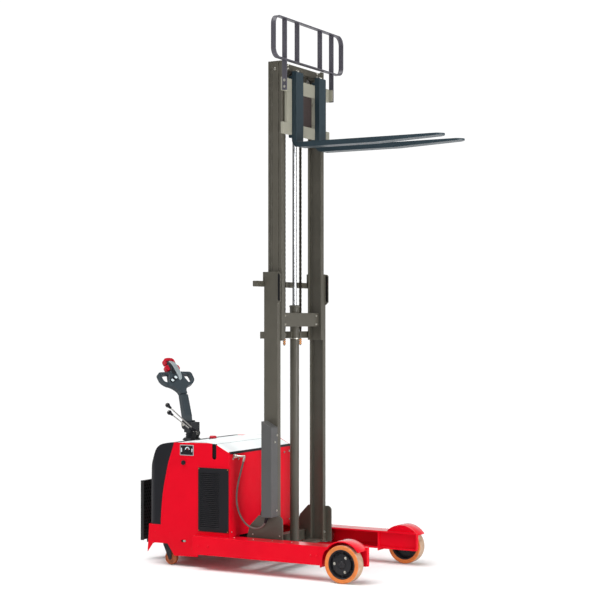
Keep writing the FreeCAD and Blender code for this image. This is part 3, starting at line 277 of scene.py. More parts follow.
# Silver parts, and also the painted highlight on the lit right half of the tiller head's crown.
SILVER = moulded("silver_and_tiller_highlight", srgb(150, 160, 163), 0.38, grain=0.1, rubbed=1.2)
RED_PLASTIC = moulded("red_plastic", srgb(188, 8, 36), 0.34, grain=0.06, rubbed=1.3)
PALE_KEY = moulded("pale_key", srgb(214, 226, 230), 0.4, grain=0.08, mottle=0.03, rubbed=0.9)
ORANGE = elastic("orange_tyre", srgb(226, 128, 60), 0.4, srgb(120, 78, 50), 0.35)
# Running face: paler from wear and dirt, and partly a painted highlight.
TREAD_DIRT_AND_HIGHLIGHT = elastic("tread_dirt_and_highlight", srgb(196, 164, 138), 0.5, srgb(112, 88, 70), 0.7)
CASTER_TYRE = elastic("caster_tyre", srgb(170, 92, 50), 0.45, srgb(70, 56, 46), 0.6)
RIM = painted("rim_casting", srgb(28, 28, 32), 0.45, srgb(120, 118, 116), 0.5, peel=0.15, specular=0.3)
ZINC = metal("zinc_plate", srgb(205, 203, 196), 0.3, marks=0.08, stain=srgb(150, 146, 132))
STEEL = metal("machined_steel", srgb(160, 158, 154), 0.34)
CHROME = metal("hard_chrome", srgb(222, 224, 228), 0.12, (1.0, 1.0, 0.06), 0.05, 0.03)
CHAIN = metal("oiled_chain", srgb(84, 78, 70), 0.42, marks=0.1, stain=srgb(48, 42, 36))
BRASS = metal("passivated_nut", srgb(196, 132, 78), 0.34, stain=srgb(150, 96, 58))
HOSE = hose_skin("hose_cover", srgb(96, 84, 80))
CABLE = hose_skin("cable_cover", srgb(48, 44, 44))
ALLOY = metal("cast_alloy", srgb(150, 152, 156), 0.5, (1.0, 1.0, 1.0), 0.1, 0.3)
CELLS = moulded("battery_cells", srgb(38, 38, 42), 0.45)
# Dark pads and rubber studs, and also the near-black sheets and marks that are painted shade behind openings
# and in notches.
DARK = moulded("dark_and_painted_shade", srgb(14, 14, 17), 0.6, specular=0.15)


# ---- mesh helpers -------------------------------------------------------------------------------
def piece(name, bm, material, body, stands_for=(), smooth=38, bevel=0.0, segments=2):
    """Turns a bmesh into a piece that rides on a body, unless that is None; bevel is in millimetres."""
    bmesh.ops.recalc_face_normals(bm, faces=bm.faces[:])
    mesh = bpy.data.meshes.new(name)
    bm.to_mesh(mesh)
    bm.free()
    obj = bpy.data.objects.new(name, mesh)
    bpy.context.collection.objects.link(obj)
    for m in material if isinstance(material, (list, tuple)) else (material,):
        mesh.materials.append(m)
    mesh.polygons.foreach_set("use_smooth", [True] * len(mesh.polygons))
    mesh.set_sharp_from_angle(angle=math.radians(smooth))
    if bevel:
        soften(obj, bevel, segments, weld=False)
    if body:
        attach(obj, body)
    if stands_for:
        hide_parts(*stands_for)
    return obj


def soften(obj, width, segments, weld=True):
    """Rounds the sharp edges of a piece or CAD node by width millimetres."""
    if weld:
        obj.modifiers.new("weld", "WELD").merge_threshold = 0.00001
        flat = obj.modifiers.new("flat", "DECIMATE")
        flat.decimate_type, flat.angle_limit = "DISSOLVE", math.radians(1.0)
    bevel = obj.modifiers.new("round", "BEVEL")
    bevel.width, bevel.segments = width / 1000, segments
    bevel.limit_method, bevel.angle_limit = "ANGLE", math.radians(34)
    bevel.harden_normals = True


def lathe(bm, profile, centre, axis, steps):
    """Turns (radius, height) millimetre points round an axis through a row-frame point. Returns the faces."""
    up = Vector(axis).normalized()
    side = up.orthogonal().normalized()
    turn = Matrix((side, up.cross(side), up)).transposed()
    rings = []
    for radius, height in profile:
        count = steps if radius > 1e-6 else 1
        ring = []
        for k in range(count):
            angle = 2 * math.pi * k / steps
            local = Vector((radius * math.cos(angle), radius * math.sin(angle), height)) / 1000
            ring.append(bm.verts.new(Vector(centre) + turn @ local))
        rings.append(ring)
    faces = []
    for a, b in zip(rings, rings[1:]):
        for k in range(steps):
            corners = [a[k % len(a)], a[(k + 1) % len(a)], b[(k + 1) % len(b)], b[k % len(b)]]
            corners = list(dict.fromkeys(corners))
            if len(corners) > 2:
                faces.append(bm.faces.new(corners))
    return faces


def block(bm, low, high):
    """A box between two corners in millimetres."""
    corners = [bm.verts.new(at(x, y, z)) for z in (low[2], high[2]) for y in (low[1], high[1])
               for x in (low[0], high[0])]
    for quad in ((0, 2, 3, 1), (4, 5, 7, 6), (0, 1, 5, 4), (2, 6, 7, 3), (0, 4, 6, 2), (1, 3, 7, 5)):
        bm.faces.new([corners[i] for i in quad])


def prism(bm, outline, low, high, place):
    """An outline of (u, v) extruded from w = low to high, with place(u, v, w) giving the point."""
    bottom = [bm.verts.new(place(u, v, low)) for u, v in outline]
    top = [bm.verts.new(place(u, v, high)) for u, v in outline]
    bm.faces.new(bottom[::-1])
    bm.faces.new(top)
    for i in range(len(outline)):
        j = (i + 1) % len(outline)
        bm.faces.new((bottom[i], bottom[j], top[j], top[i]))


def in_xz(u, v, w):
    """For an outline drawn in x and z, with its depth along y."""
    return at(u, w, v)


def in_yz(u, v, w):
    """For an outline drawn in y and z, with its depth along x."""
    return at(w, u, v)


def filleted(corners):
    """An outline from (u, v, radius) corners, each rounded by its radius."""
    steps = 4
    points = []
    count = len(corners)
    for i, (u, v, radius) in enumerate(corners):
        here = Vector((u, v))
        before = Vector(corners[i - 1][:2]) - here
        after = Vector(corners[(i + 1) % count][:2]) - here
        if radius <= 0:
            points.append((u, v))
            continue
        half = before.angle(after) / 2
        cut = min(radius / math.tan(half), before.length * 0.49, after.length * 0.49)
        start = here + before.normalized() * cut
        end = here + after.normalized() * cut
        for k in range(steps + 1):
            t = k / steps
            points.append(tuple(start * (1 - t) ** 2 + here * 2 * t * (1 - t) + end * t ** 2))
    return points


def rounded_box(u0, v0, u1, v1, radius):
    """The outline of a rectangle with rounded corners."""
    return filleted([(u0, v0, radius), (u1, v0, radius), (u1, v1, radius), (u0, v1, radius)])


def bolt(bm, centre, axis, across, tall):
    """A hexagon head on a washer."""
    washer = across * 0.62
    disc = [(0, 0), (washer + 1.2, 0), (washer + 1.5, 0.4), (washer + 1.2, 1.6), (0, 1.6)]
    lathe(bm, disc, centre, axis, 20)
    half = across * 0.577      # from the middle to a corner
    lathe(bm, [(0, 1.4), (half, 1.4), (half, tall - 0.8), (half - 1.2, tall), (0, tall)], centre, axis, 6)


def button_screw(bm, centre, axis, radius):
    """A domed screw with a socket."""
    dome = ((0, 0), (1, 0), (0.96, 0.28), (0.7, 0.5), (0.42, 0.56), (0.40, 0.3), (0, 0.3))
    lathe(bm, [(radius * r, radius * h) for r, h in dome], centre, axis, 20)


def route_line(points):
    """Points along the smooth line that a route's NURBS spline follows."""
    curve = bpy.data.curves.new("route", "CURVE")
    curve.dimensions, curve.resolution_u = "3D", 14
    spline = curve.splines.new("NURBS")
    spline.points.add(len(points) - 1)
    for target, source in zip(spline.points, points):
        target.co = (*source, 1.0)
    spline.order_u = 3
    spline.use_endpoint_u = True
    obj = bpy.data.objects.new("route", curve)
    bpy.context.collection.objects.link(obj)
    bpy.context.view_layer.update()
    mesh = bpy.data.meshes.new_from_object(obj.evaluated_get(bpy.context.evaluated_depsgraph_get()))
    line = [v.co.copy() for v in mesh.vertices]
    bpy.data.objects.remove(obj)
    bpy.data.meshes.remove(mesh)
    return line


def tube(bm, line, radius, steps):
    """A closed round tube of radius metres along a line of points."""
    rings = []
    side = None
    for i, here in enumerate(line):
        along = (line[min(i + 1, len(line) - 1)] - line[max(i - 1, 0)]).normalized()
        side = along.orthogonal() if side is None else side - along * side.dot(along)
        side.normalize()
        other = along.cross(side)
        rings.append([bm.verts.new(here + (side * math.cos(a) + other * math.sin(a)) * radius)
                      for a in (2 * math.pi * k / steps for k in range(steps))])
    for a, b in zip(rings, rings[1:]):
        for k in range(steps):
            bm.faces.new((a[k], a[(k + 1) % steps], b[(k + 1) % steps], b[k]))
    bm.faces.new(rings[0][::-1])
    bm.faces.new(rings[-1])


# ---- hoses --------------------------------------------------------------------------------------
HOSE_ROUTE = [(-216, -372, 748), (-231, -372, 693), (-252, -373, 624), (-266, -374, 552),
              (-270, -376, 480), (-256, -377, 412), (-222, -378, 350), (-172, -380, 306),
              (-118, -381, 293), (-72, -383, 302), (-38, -385, 331), (-22, -386, 372)]
CABLE_ROUTE = [(-44, -372, 704), (-52, -372, 668), (-58, -371, 620), (-58, -370, 570),
               (-56, -369, 520), (-62, -368, 470), (-70, -366, 432), (-76, -364, 400)]
HOSE_RADIUS, CABLE_RADIUS = 0.0065, 0.0035


def make_reach_hose():
    """The hose from the bulkhead to the mast, and the boot on its mast end."""
    line = route_line([at(*p) for p in HOSE_ROUTE])
    bm = bmesh.new()
    tube(bm, line, HOSE_RADIUS, 16)
    hose = piece("reach_hose_line", bm, HOSE, None, ("reach_hose",))
    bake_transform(hose)
    bm = bmesh.new()
    boot = [(0, -4), (13, -4), (13, 6), (11.5, 10), (8.6, 34), (7.2, 36), (0, 36)]
    lathe(bm, boot, line[-1], line[-4] - line[-1], 24)
    piece("reach_hose_boot", bm, SHELL, "mast_frame")


def make_sensor_cable():
    """The thin cable behind the cover box, with a gland at each end."""
    line = route_line([at(*p) for p in CABLE_ROUTE])
    bm = bmesh.new()
    tube(bm, line, CABLE_RADIUS, 12)
    cable = piece("sensor_cable", bm, CABLE, "mast_frame")
    bm = bmesh.new()
    for point, along in ((line[0], line[1] - line[0]), (line[-1], line[-2] - line[-1])):
        lathe(bm, [(0, -14), (7, -14), (7, 2), (5.6, 8), (4.4, 20), (0, 20)], point, along, 20)
    piece("cable_glands", bm, SHELL, "mast_frame")


make_reach_hose()
make_sensor_cable()


# ---- finishes of the CAD pieces that stay -------------------------------------------------------
def dress(names, material, width=0.0, segments=2):
    """Gives CAD nodes a material, and rounds their edges by width millimetres."""
    for name in names:
        obj = NODES[name]
        obj.data.materials.clear()
        obj.data.materials.append(material)
        if width:
            soften(obj, width, segments)


def pair(name):
    return [name + "_right", name + "_left"]


dress(["chassis_frame"], RED, 1.2)
dress(pair("side_panel"), RED, 1.5, 3)
dress(pair("leg"), RED, 2.0, 3)
dress(["rear_cover"], SHELL, 2.5, 3)
dress(["control_deck"], HOOD, 1.0)
dress(["battery_lid"], HOOD, 2.0, 3)
dress(["side_grilles"], LOUVRE, 0.8)
dress(["battery"], CELLS, 1.5)
dress(["hydraulic_unit", "reach_cylinder", "lever_bracket", "platform_bracket"], BLACK_STEEL, 1.0)
dress(["motor_controller"], ALLOY, 0.8)
dress(["hose_elbow"], ZINC, 0.6)
dress(["emergency_stop"], RED_PLASTIC, 1.2)
dress(["key_switch"], TILLER_DARK, 0.8)
dress(["drive_gearbox"], RIM, 1.5)
dress(["drive_motor", "tiller_column"], TILLER_DARK, 1.2)
dress(["drive_wheel"], CASTER_TYRE, 1.5)
dress(["platform_tray"], BLACK_STEEL, 1.0)
dress(pair("caster_fork"), BLACK_STEEL, 0.8)
dress(pair("caster_wheel"), CASTER_TYRE, 0.8)
dress(["throttle"], RED_PLASTIC, 2.5, 4)
dress(["belly_switch"], RED_PLASTIC, 3.0, 4)
dress(["lift_rocker"], TILLER_DARK, 1.2, 3)
dress(["reach_lever", "side_lever"], STEEL)
dress(["outer_crossmembers"], MAST, 1.2)
dress(["lift_cylinder"], MAST, 1.0)
dress(["mast_cover"], COVER, 1.2, 3)
dress(["reach_rod", "piston_rod"], CHROME)
dress(["reach_rollers_rear", "reach_rollers_front", "inner_rollers", "carriage_rollers"], STEEL)
dress(["chain_pulleys"], STEEL)
dress(["inner_crossmembers"], MAST, 1.2)
dress(["carriage_frame"], KHAKI, 1.0)
dress(["load_backrest"], REST, 1.0)
dress(pair("fork"), FORKS, 2.5, 3)


# ---- mast uprights ------------------------------------------------------------------------------
def upright_outline(node, side, flange, plate, grooves):
    """Rolled channel section of an upright, from its node's box; grooves are (offset, width, depth)."""
    low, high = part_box(node)
    x0, x1 = low.x * 1000 + ZERO_X, high.x * 1000 + ZERO_X
    outer = max(abs(low.y), abs(high.y)) * 1000
    corners = [(x0, outer, 5)]
    for offset, wide, deep in grooves:
        corners += [(x0 + offset, outer, 1), (x0 + offset + 0.6, outer - deep, 0.5),
                    (x0 + offset + wide - 0.6, outer - deep, 0.5), (x0 + offset + wide, outer, 1)]
    corners += [(x1, outer, 5), (x1, outer - flange, 2), (x1 - plate, outer - flange, 2),
                (x1 - plate, outer - 10, 4), (x0 + plate, outer - 10, 4), (x0 + plate, outer - flange, 2),
                (x0, outer - flange, 2)]
    points = [(x, side * y) for x, y in filleted(corners)]
    return points, low.z * 1000, high.z * 1000


def make_uprights():
    """Rolled sections in place of the four plain uprights."""
    plans = (("outer_upright", 38, 12, (), "mast_frame"),
             ("inner_upright", 41, 12, ((13, 8, 5.0), (30, 5, 4.0), (82, 6, 4.5)), "inner_mast"))
    for base, flange, plate, grooves, body in plans:
        for word, side in SIDES:
            node = f"{base}_{word}"
            outline, z0, z1 = upright_outline(node, side, flange, plate, grooves)
            bm = bmesh.new()
            prism(bm, outline, z0, z1, at)
            piece(f"{node}_section", bm, MAST, body, (node,), smooth=30)


make_uprights()


# ---- load wheels --------------------------------------------------------------------------------
TREAD_FROM = 0.1225      # metres from the axle: the tyre's worn running face starts here; its paler colour is partly a painted highlight


def make_load_wheel(word, side):
    """Tyre, rim with its bolts, and the cap on the fixed stub axle."""
    low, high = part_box("load_tyre_" + word)
    centre = (low + high) / 2
    radius = (high.z - low.z) * 500
    half = (high.y - low.y) * 500
    out = Vector((0, side, 0))
    bm = bmesh.new()
    bead = [(97, -half + 3), (104, -half + 1.2), (106, -half + 1.8), (108, -half + 0.6), (radius - 9, -half),
            (radius - 4, -half + 1.3), (radius - 1.6, -half + 4), (radius - 0.6, -half + 9), (radius, -6)]
    profile = bead + [(r, -h) for r, h in reversed(bead)]
    faces = lathe(bm, profile + [profile[0]], centre, out, 96)
    # Faces past TREAD_FROM take the paler running-face colour, partly a painted highlight.
    for face in faces:
        if all(math.hypot(v.co.x - centre.x, v.co.z - centre.z) > TREAD_FROM for v in face.verts):
            face.material_index = 1
    piece("tyre_" + word, bm, (ORANGE, TREAD_DIRT_AND_HIGHLIGHT), "load_wheel_" + word, ("load_tyre_" + word,))
    bm = bmesh.new()
    lathe(bm, [(17.6, -40), (40, -40), (46, -8), (80, -6), (86, -34), (91, -36.5), (97, -36), (97, 36),
               (92, 36.5), (88, 34), (84, 20), (79, 14), (72, 14), (68, 24), (66, 31), (63, 33), (29, 33),
               (26.5, 31), (26, 28.5), (17.6, 28.5), (17.6, -40)], centre, out, 72)
    for k in range(6):
        angle = math.pi * k / 3 + 0.5
        along = Vector((math.cos(angle), 0, math.sin(angle)))
        across = Vector((-math.sin(angle), 0, math.cos(angle)))
        prism(bm, [(64, -5), (85, -4), (85, 4), (64, 5)], 10, 24,
              lambda u, v, w: centre + (along * u + across * v) / 1000 + out * w / 1000)
    piece("rim_" + word, bm, RIM, "load_wheel_" + word, ("load_rim_" + word,), bevel=0.8)
    bm = bmesh.new()
    for k in range(3):
        angle, reach = 2 * math.pi * k / 3 + 0.985, 0.053
        spot = centre + Vector((math.cos(angle) * reach, side * 0.033, math.sin(angle) * reach))
        bolt(bm, spot, out, 13, 6.4)
    piece("rim_bolts_" + word, bm, ZINC, "load_wheel_" + word, smooth=30)
    bm = bmesh.new()
    cap = centre + Vector((0, side * 0.0293, 0))
    lathe(bm, [(0, 0), (24.6, 0), (24.6, 6), (21, 9.4), (13, 9.6), (12, 10.5), (0, 10.5)], cap, out, 32)
    piece("stub_cap_" + word, bm, RIM, "chassis")


for side_word, side_sign in SIDES:
    make_load_wheel(side_word, side_sign)


# ---- chains -------------------------------------------------------------------------------------
PITCH, PLATE_DEEP = 15.875, 12.6
CHAIN_Y, PULLEY_Z = 114.0, 3385.0
INNER_PLATES = ((-5.6, -3.6), (-1.0, 1.0), (3.6, 5.6))
OUTER_PLATES = ((-7.9, -5.9), (-3.3, -1.3), (1.3, 3.3), (5.9, 7.9))


def chain_link(bm, start, end, y, inner):
    """Leaf plates from one pin to the next, in the X-Z plane, and the pin at the start."""
    a, b = Vector((start[0], start[1])), Vector((end[0], end[1]))
    along = (b - a).normalized()
    across = Vector((-along.y, along.x))
    radius = PLATE_DEEP / 2
    outline = []
    for centre, turn in ((b, -90), (a, 90)):
        for k in range(5):
            angle = math.radians(turn + 45 * k)
            outline.append(centre + (along * math.cos(angle) + across * math.sin(angle)) * radius)
    for low, high in INNER_PLATES if inner else OUTER_PLATES:
        prism(bm, [(p.x, p.y) for p in outline], y + low, y + high, in_xz)
    lathe(bm, [(0, -8), (2.7, -8), (2.7, 8), (0, 8)], at(a.x, y, a.y), (0, 1, 0), 8)


def chain(name, stations, body, stands_for=()):
    """Both chains along a list of (x, z) pin stations."""
    bm = bmesh.new()
    for _, side in SIDES:
        for k, (a, b) in enumerate(zip(stations, stations[1:])):
            chain_link(bm, a, b, side * CHAIN_Y, k % 2 == 0)
    return piece(name, bm, CHAIN, body, stands_for, smooth=50)


def straight_stations(x, z0, z1):
    """Pins up a straight strand, a pitch apart as nearly as its height allows."""
    count = round((z1 - z0) / PITCH)
    return [(x, z0 + (z1 - z0) * k / count) for k in range(count + 1)]


def make_chains():
    """Anchor strands, carriage strands, and the wraps between them."""
    low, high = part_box("chain_anchor_strands")
    z0, z1 = low.z * 1000, high.z * 1000
    x = (low.x + high.x) * 500 + ZERO_X
    stations = straight_stations(x, z0 + 3, z1)
    anchor = chain("chain_anchor_links", stations, "mast_frame", ("chain_anchor_strands",))
    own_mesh(anchor)
    low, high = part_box("chain_carriage_strands")
    z0 = low.z * 1000
    front = (low.x + high.x) * 500 + ZERO_X
    stations = straight_stations(front, z0 + 3, PULLEY_Z)
    links = chain("chain_carriage_links", stations, None, ("chain_carriage_strands",))
    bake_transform(links)
    count = 8
    arc = [(front * math.cos(math.pi * k / count), PULLEY_Z + front * math.sin(math.pi * k / count))
           for k in range(count + 1)]
    chain("chain_wrap_links", arc, "inner_mast")


make_chains()


# ---- tiller -------------------------------------------------------------------------------------
NECK_BACK, NECK_Z, END_BACK, END_Z = 112.0, 1170.0, 300.0, 1395.0
HEAD_TILT = math.atan2(END_BACK - NECK_BACK, END_Z - NECK_Z)


def steered(x, y, z):
    """A point of the straight tiller, turned to its rest angle."""
    dx = x - STEER_X
    c, s = math.cos(STEER_REST), math.sin(STEER_REST)
    return at(STEER_X + dx * c - y * s, dx * s + y * c, z)


def head(x, y, z):
    """A point of the tiller head: x across, y along it, z out of its upper face."""
    c, s = math.cos(HEAD_TILT), math.sin(HEAD_TILT)
    return steered(STEER_X - NECK_BACK - s * y + c * z, x, NECK_Z + c * y + s * z)


HEAD_UP = head(0, 0, 1) - head(0, 0, 0)


def melt(name, material, passes):
    """Gives a CAD node the soft corners of a moulding."""
    dress([name], material)
    remesh = NODES[name].modifiers.new("skin", "REMESH")
    remesh.mode, remesh.voxel_size, remesh.use_smooth_shade = "VOXEL", 2.2 / 1000, True
    smooth = NODES[name].modifiers.new("melt", "SMOOTH")
    smooth.factor, smooth.iterations = 0.5, passes


CROWN = ((120, 19.2), (168, 20.5), (190, 27), (215, 37), (246, 42), (270, 38), (290, 28), (312, 8))
# Stations of the painted highlight: a pale sheet over the right half of the crown, where it stands lit.
SPINE_HIGHLIGHT_PLAN = ((122, 8, 26), (138, 12, 40), (156, 14, 47), (178, 10, 49), (200, 0, 43), (222, -9, 36),
              (246, -16, 31), (266, -19, 27), (284, -21, 20), (299, -20, 9))
# Stations of the painted shade: a dark sheet over the left flank of the crown, where it lies in shade.
FLANK_SHADE_PLAN = ((180, -29, 14), (200, -30, 6), (222, -30.3, -3), (246, -30.3, -10), (266, -30.3, -13),
              (284, -29.5, -15), (294, -28, -16))


def crown_height(y):
    """Height of the head's upper face along its spine."""
    for (y0, z0), (y1, z1) in zip(CROWN, CROWN[1:]):
        if y <= y1:
            t = (y - y0) / (y1 - y0)
            return z0 + (z1 - z0) * t * t * (3 - 2 * t)
    return CROWN[-1][1]


def arched_painted_sheet(name, plan, material, proud):
    """A thin sheet arched over the spine to carry painted light and shade, from (y, left, right) stations;
    proud is how far it stands out.
    """
    bm = bmesh.new()
    rings = []
    for y, left, right in plan:
        middle, half = (left + right) / 2, (right - left) / 2
        top = crown_height(y) + proud
        ring = [head(middle + half, y, top - 11)]
        for k in range(13):
            angle = math.pi * k / 12
            ring.append(head(middle + half * math.cos(angle), y, top - 5 + 5 * math.sin(angle) ** 0.6))
        ring.append(head(middle - half, y, top - 11))
        rings.append([bm.verts.new(p) for p in ring])
    for a, b in zip(rings, rings[1:]):
        for k in range(len(a)):
            j = (k + 1) % len(a)
            bm.faces.new((a[k], a[j], b[j], b[k]))
    bm.faces.new(rings[0][::-1])
    bm.faces.new(rings[-1])
    # The sheet of painted light or shade, rounded by subdivision.
    cover = piece(name, bm, material, "tiller")
    smooth = cover.modifiers.new("round", "SUBSURF")
    smooth.levels = smooth.render_levels = 2


ROCKER_X, ROCKER_Y, ROCKER_TURN = -34, 132, math.radians(33.5)


def on_rocker(u, v, w):
    """A point of the rocker's own frame, turned and moved to its place on the head."""
    c, s = math.cos(ROCKER_TURN), math.sin(ROCKER_TURN)
    return head(ROCKER_X + u * c - v * s, ROCKER_Y + u * s + v * c, w)


def make_tiller_details():
    """Soft mouldings, a painted highlight and a painted shade arched over the spine, rocker pads, screws and
    the caps of the tilt pin.
    """
    melt("tiller_head", TILLER, 9)
    melt("tiller_arm", TILLER, 6)
    # Painted highlight: a pale silver sheet over the lit right half of the head's crown.
    arched_painted_sheet("head_spine_highlight", SPINE_HIGHLIGHT_PLAN, SILVER, 4.5)
    # Painted shade: a dark sheet over the shaded left half of the head's crown.
    arched_painted_sheet("head_flank_shade", FLANK_SHADE_PLAN, TILLER_DARK, 2.0)
    bm = bmesh.new()
    for u in (-24, 24):
        prism(bm, rounded_box(u - 11, -11, u + 11, 11, 4), 21, 26, on_rocker)
    piece("rocker_pads", bm, PALE_KEY, "lift_rocker", bevel=1.6, segments=3)
    bm = bmesh.new()
    for x, y in ((-106, 92), (106, 92), (-80, 192), (80, 192), (0, 60)):
        button_screw(bm, head(x, y, -18.6), -HEAD_UP, 3.6)
    piece("head_screws", bm, ZINC, "tiller")
    bm = bmesh.new()
    for _, side in SIDES:
        centre = steered(STEER_X - 48, side * 43, 957)
        across = steered(0, side, 0) - steered(0, 0, 0)
        lathe(bm, [(0, 0), (13, 0), (13, 2), (9, 4.6), (0, 5)], centre, across, 28)
    piece("tilt_pin_caps", bm, ZINC, "steer_unit")


make_tiller_details()


# ---- hand levers --------------------------------------------------------------------------------
LEVER_FOOT_X, LEVER_FOOT_Z = -755, 906
KNOB = [(0, -25), (7, -25), (8, -24), (9.4, -14), (11, -4), (15.5, 3), (17.6, 10), (16.6, 17), (13, 23),
        (7, 27), (0, 28)]


def make_levers():
    """Knobs and rubber boots on the two hand levers."""
    for name, y, top_x, top_z in (("reach_lever", -118, -1007, 1093), ("side_lever", -146, -972, 1043)):
        start, end = at(LEVER_FOOT_X, y, LEVER_FOOT_Z), at(top_x, y, top_z)
        along = (end - start).normalized()
        bm = bmesh.new()
        lathe(bm, KNOB, end, along, 32)
        piece(name + "_knob", bm, SHELL, name)
        bm = bmesh.new()
        folds = []
        for k in range(6):
            folds += [(13.5 - k * 1.3, 26 + k * 7), (10.0 - k * 0.9, 29.5 + k * 7)]
        lathe(bm, [(0, 24), (12, 24)] + folds + [(0, 70)], start, along, 28)
        piece(name + "_boot", bm, SHELL, name)


make_levers()


# ---- chassis details ----------------------------------------------------------------------------
PANEL_Y, BULKHEAD_X = 430.0, -293      # outer faces of the side panels and of the bulkhead


def make_meter_plate():
    """Generic battery gauge in a pale frame on the right panel."""
    x0, x1, z0, z1 = -698, -585, 774, 849
    hub_x, hub_z = -634, 816

    def on_panel(u, v, w):
        return at(u, -PANEL_Y - w, v)
    bm = bmesh.new()
    prism(bm, rounded_box(x0, z0, x1, z1, 5), -0.5, 2.5, on_panel)
    piece("meter_frame", bm, SILVER, "chassis", bevel=0.8)
    bm = bmesh.new()
    prism(bm, rounded_box(x0 + 6, z0 + 6, x1 - 6, z1 - 6, 3), 2, 3.3, on_panel)
    bezel = [(0, 0), (26, 0), (26, 2.6), (23.5, 3.6), (21.5, 2.4), (0, 2.4)]
    lathe(bm, bezel, on_panel(hub_x, hub_z, 3.2), (0, -1, 0), 40)
    piece("meter_face", bm, SHELL, "chassis", bevel=0.3)
    bm = bmesh.new()
    sweep = [(hub_x + r * math.cos(a), hub_z + r * math.sin(a))
             for r, turns in ((19, range(0, 181, 12)), (12, range(180, -1, -12)))
             for a in map(math.radians, turns)]
    prism(bm, sweep, 5.4, 6.2, on_panel)
    for x, z, wide, tall in ((-684, 812, 4, 14), (-597, 812, 3.5, 11)):
        bar = [(x - wide, z - tall), (x + wide, z - tall), (x + wide, z + tall), (x - wide, z + tall)]
        prism(bm, bar, 3, 4.4, on_panel)
    piece("meter_dial", bm, PALE_KEY, "chassis")
    bm = bmesh.new()
    prism(bm, [(hub_x - 2, hub_z - 3), (hub_x + 1.5, hub_z - 3), (hub_x + 9, hub_z + 13)], 6, 6.8, on_panel)
    piece("meter_needle", bm, RED_PLASTIC, "chassis")
    bm = bmesh.new()
    for x in (x0 + 3.5, x1 - 3.5):
        for z in (z0 + 3.5, z1 - 3.5):
            button_screw(bm, on_panel(x, z, 2.4), (0, -1, 0), 2.2)
    piece("meter_screws", bm, ZINC, "chassis")


def make_panel_details():
    """Louvres, tow eye and screws of both side panels, and painted shade behind the grille, the slot and the
    tow eye.
    """
    for word, side in SIDES:
        out = (0, side, 0)
        bm = bmesh.new()
        for row in range(28):
            z = 286 + row * 13.6
            blade = [(-436.4, z - 1.2), (-435.2, z - 1.8), (-427.4, z + 5.4), (-428.6, z + 6.4)]
            prism(bm, [(-side * u, v) for u, v in blade], -531, -371, in_yz)
        piece("louvre_blades_" + word, bm, LOUVRE, "chassis", smooth=30)
        bm = bmesh.new()
        # Painted shade: a near-black sheet behind the louvres, where the inside of the panel lies in shade.
        block(bm, (-540, side * 423 - 1, 262), (-303, side * 423 + 1, 690))
        piece("grille_shade_" + word, bm, DARK, "chassis")
        bm = bmesh.new()
        for x in (-539, -304):
            for z in (263, 689):
                button_screw(bm, at(x, side * (PANEL_Y + 6), z), out, 4.6)
        piece("grille_screws_" + word, bm, BRASS, "chassis")
        bm = bmesh.new()
        # Painted shade: a near-black sheet seen through the slot in the panel.
        block(bm, (-436, side * 422.4 - 1.2, 764), (-398, side * 422.4 + 1.2, 861))
        piece("slot_shade_" + word, bm, DARK, "chassis")
        bm = bmesh.new()
        eye = [(math.cos(a) * 7 + cx, math.sin(a) * 7 + 178) for cx, start in ((-659, -90), (-668, 90))
               for a in (math.radians(start + 22.5 * k) for k in range(9))]
        prism(bm, eye, side * 425 - 3, side * 425 + 3, in_xz)
        piece("tow_eye_" + word, bm, ZINC, "chassis", bevel=1.2)
        bm = bmesh.new()
        # Painted shade: a near-black sheet seen through the tow eye's hole.
        block(bm, (-690, side * 420 - 1, 163), (-648, side * 420 + 1, 193))
        piece("tow_eye_shade_" + word, bm, DARK, "chassis")
        bm = bmesh.new()
        for x, z in ((-905, 228), (-600, 128), (-780, 228), (-880, 262)):
            button_screw(bm, at(x, side * PANEL_Y, z), out, 5.0)
        piece("panel_screws_" + word, bm, RED, "chassis")


def make_bulkhead_details():
    """Bolts and screws of the bulkhead, and the dark trim along its top edge."""
    bm = bmesh.new()
    for y, z in ((-383, 763), (-312, 758), (395, 760), (325, 757)):
        bolt(bm, at(BULKHEAD_X, y, z), (1, 0, 0), 11, 6)
    for y in (-400, -150, 150, 400):
        button_screw(bm, at(BULKHEAD_X, y, 262), (1, 0, 0), 6)
    piece("bulkhead_bolts", bm, ZINC, "chassis", smooth=30)
    bm = bmesh.new()
    lip = filleted([(-300.5, 803, 1), (-300.5, 812, 2), (-291, 812, 2), (-291, 795, 1), (-293, 795, 0.5),
                    (-293, 809.4, 0), (-299, 809.4, 0), (-299, 803, 0)])
    prism(bm, lip, -PANEL_Y + 7, PANEL_Y - 7, in_xz)
    piece("bulkhead_trim", bm, SHELL, "chassis")


def make_lid_details():
    """Seams and ribs that ride with the battery hood, and the screws of its hinges."""
    bm = bmesh.new()
    for _, side in SIDES:
        outline = [(-636, 860), (-636, 863.4), (-500, 864.4), (-428, 861.2), (-428, 858)]
        prism(bm, outline, side * 404.5 - 2, side * 404.5 + 2, in_xz)
        block(bm, (-560, side * 385 - 3, 868.5), (-505, side * 385 + 3, 869.8))
    block(bm, (-636, -404, 860), (-632.6, 404, 864))
    block(bm, (-424, -404, 857), (-420, 404, 859.6))
    piece("hood_seams", bm, SILVER, "battery_lid", bevel=0.5)
    bm = bmesh.new()
    for y in (-300, -150, 0, 150, 300):
        outline = [(-600, 868.6), (-598, 870.6), (-530, 870.6), (-520, 868.6)]
        prism(bm, outline, y - 12, y + 12, in_xz)
    piece("hood_ribs", bm, HOOD, "battery_lid", bevel=0.8)
    bm = bmesh.new()
    for y in (-262, -244, 244, 262):
        button_screw(bm, at(-661, y, 862.5), (0, 0, 1), 3.4)
    piece("hinge_screws", bm, ZINC, "chassis")


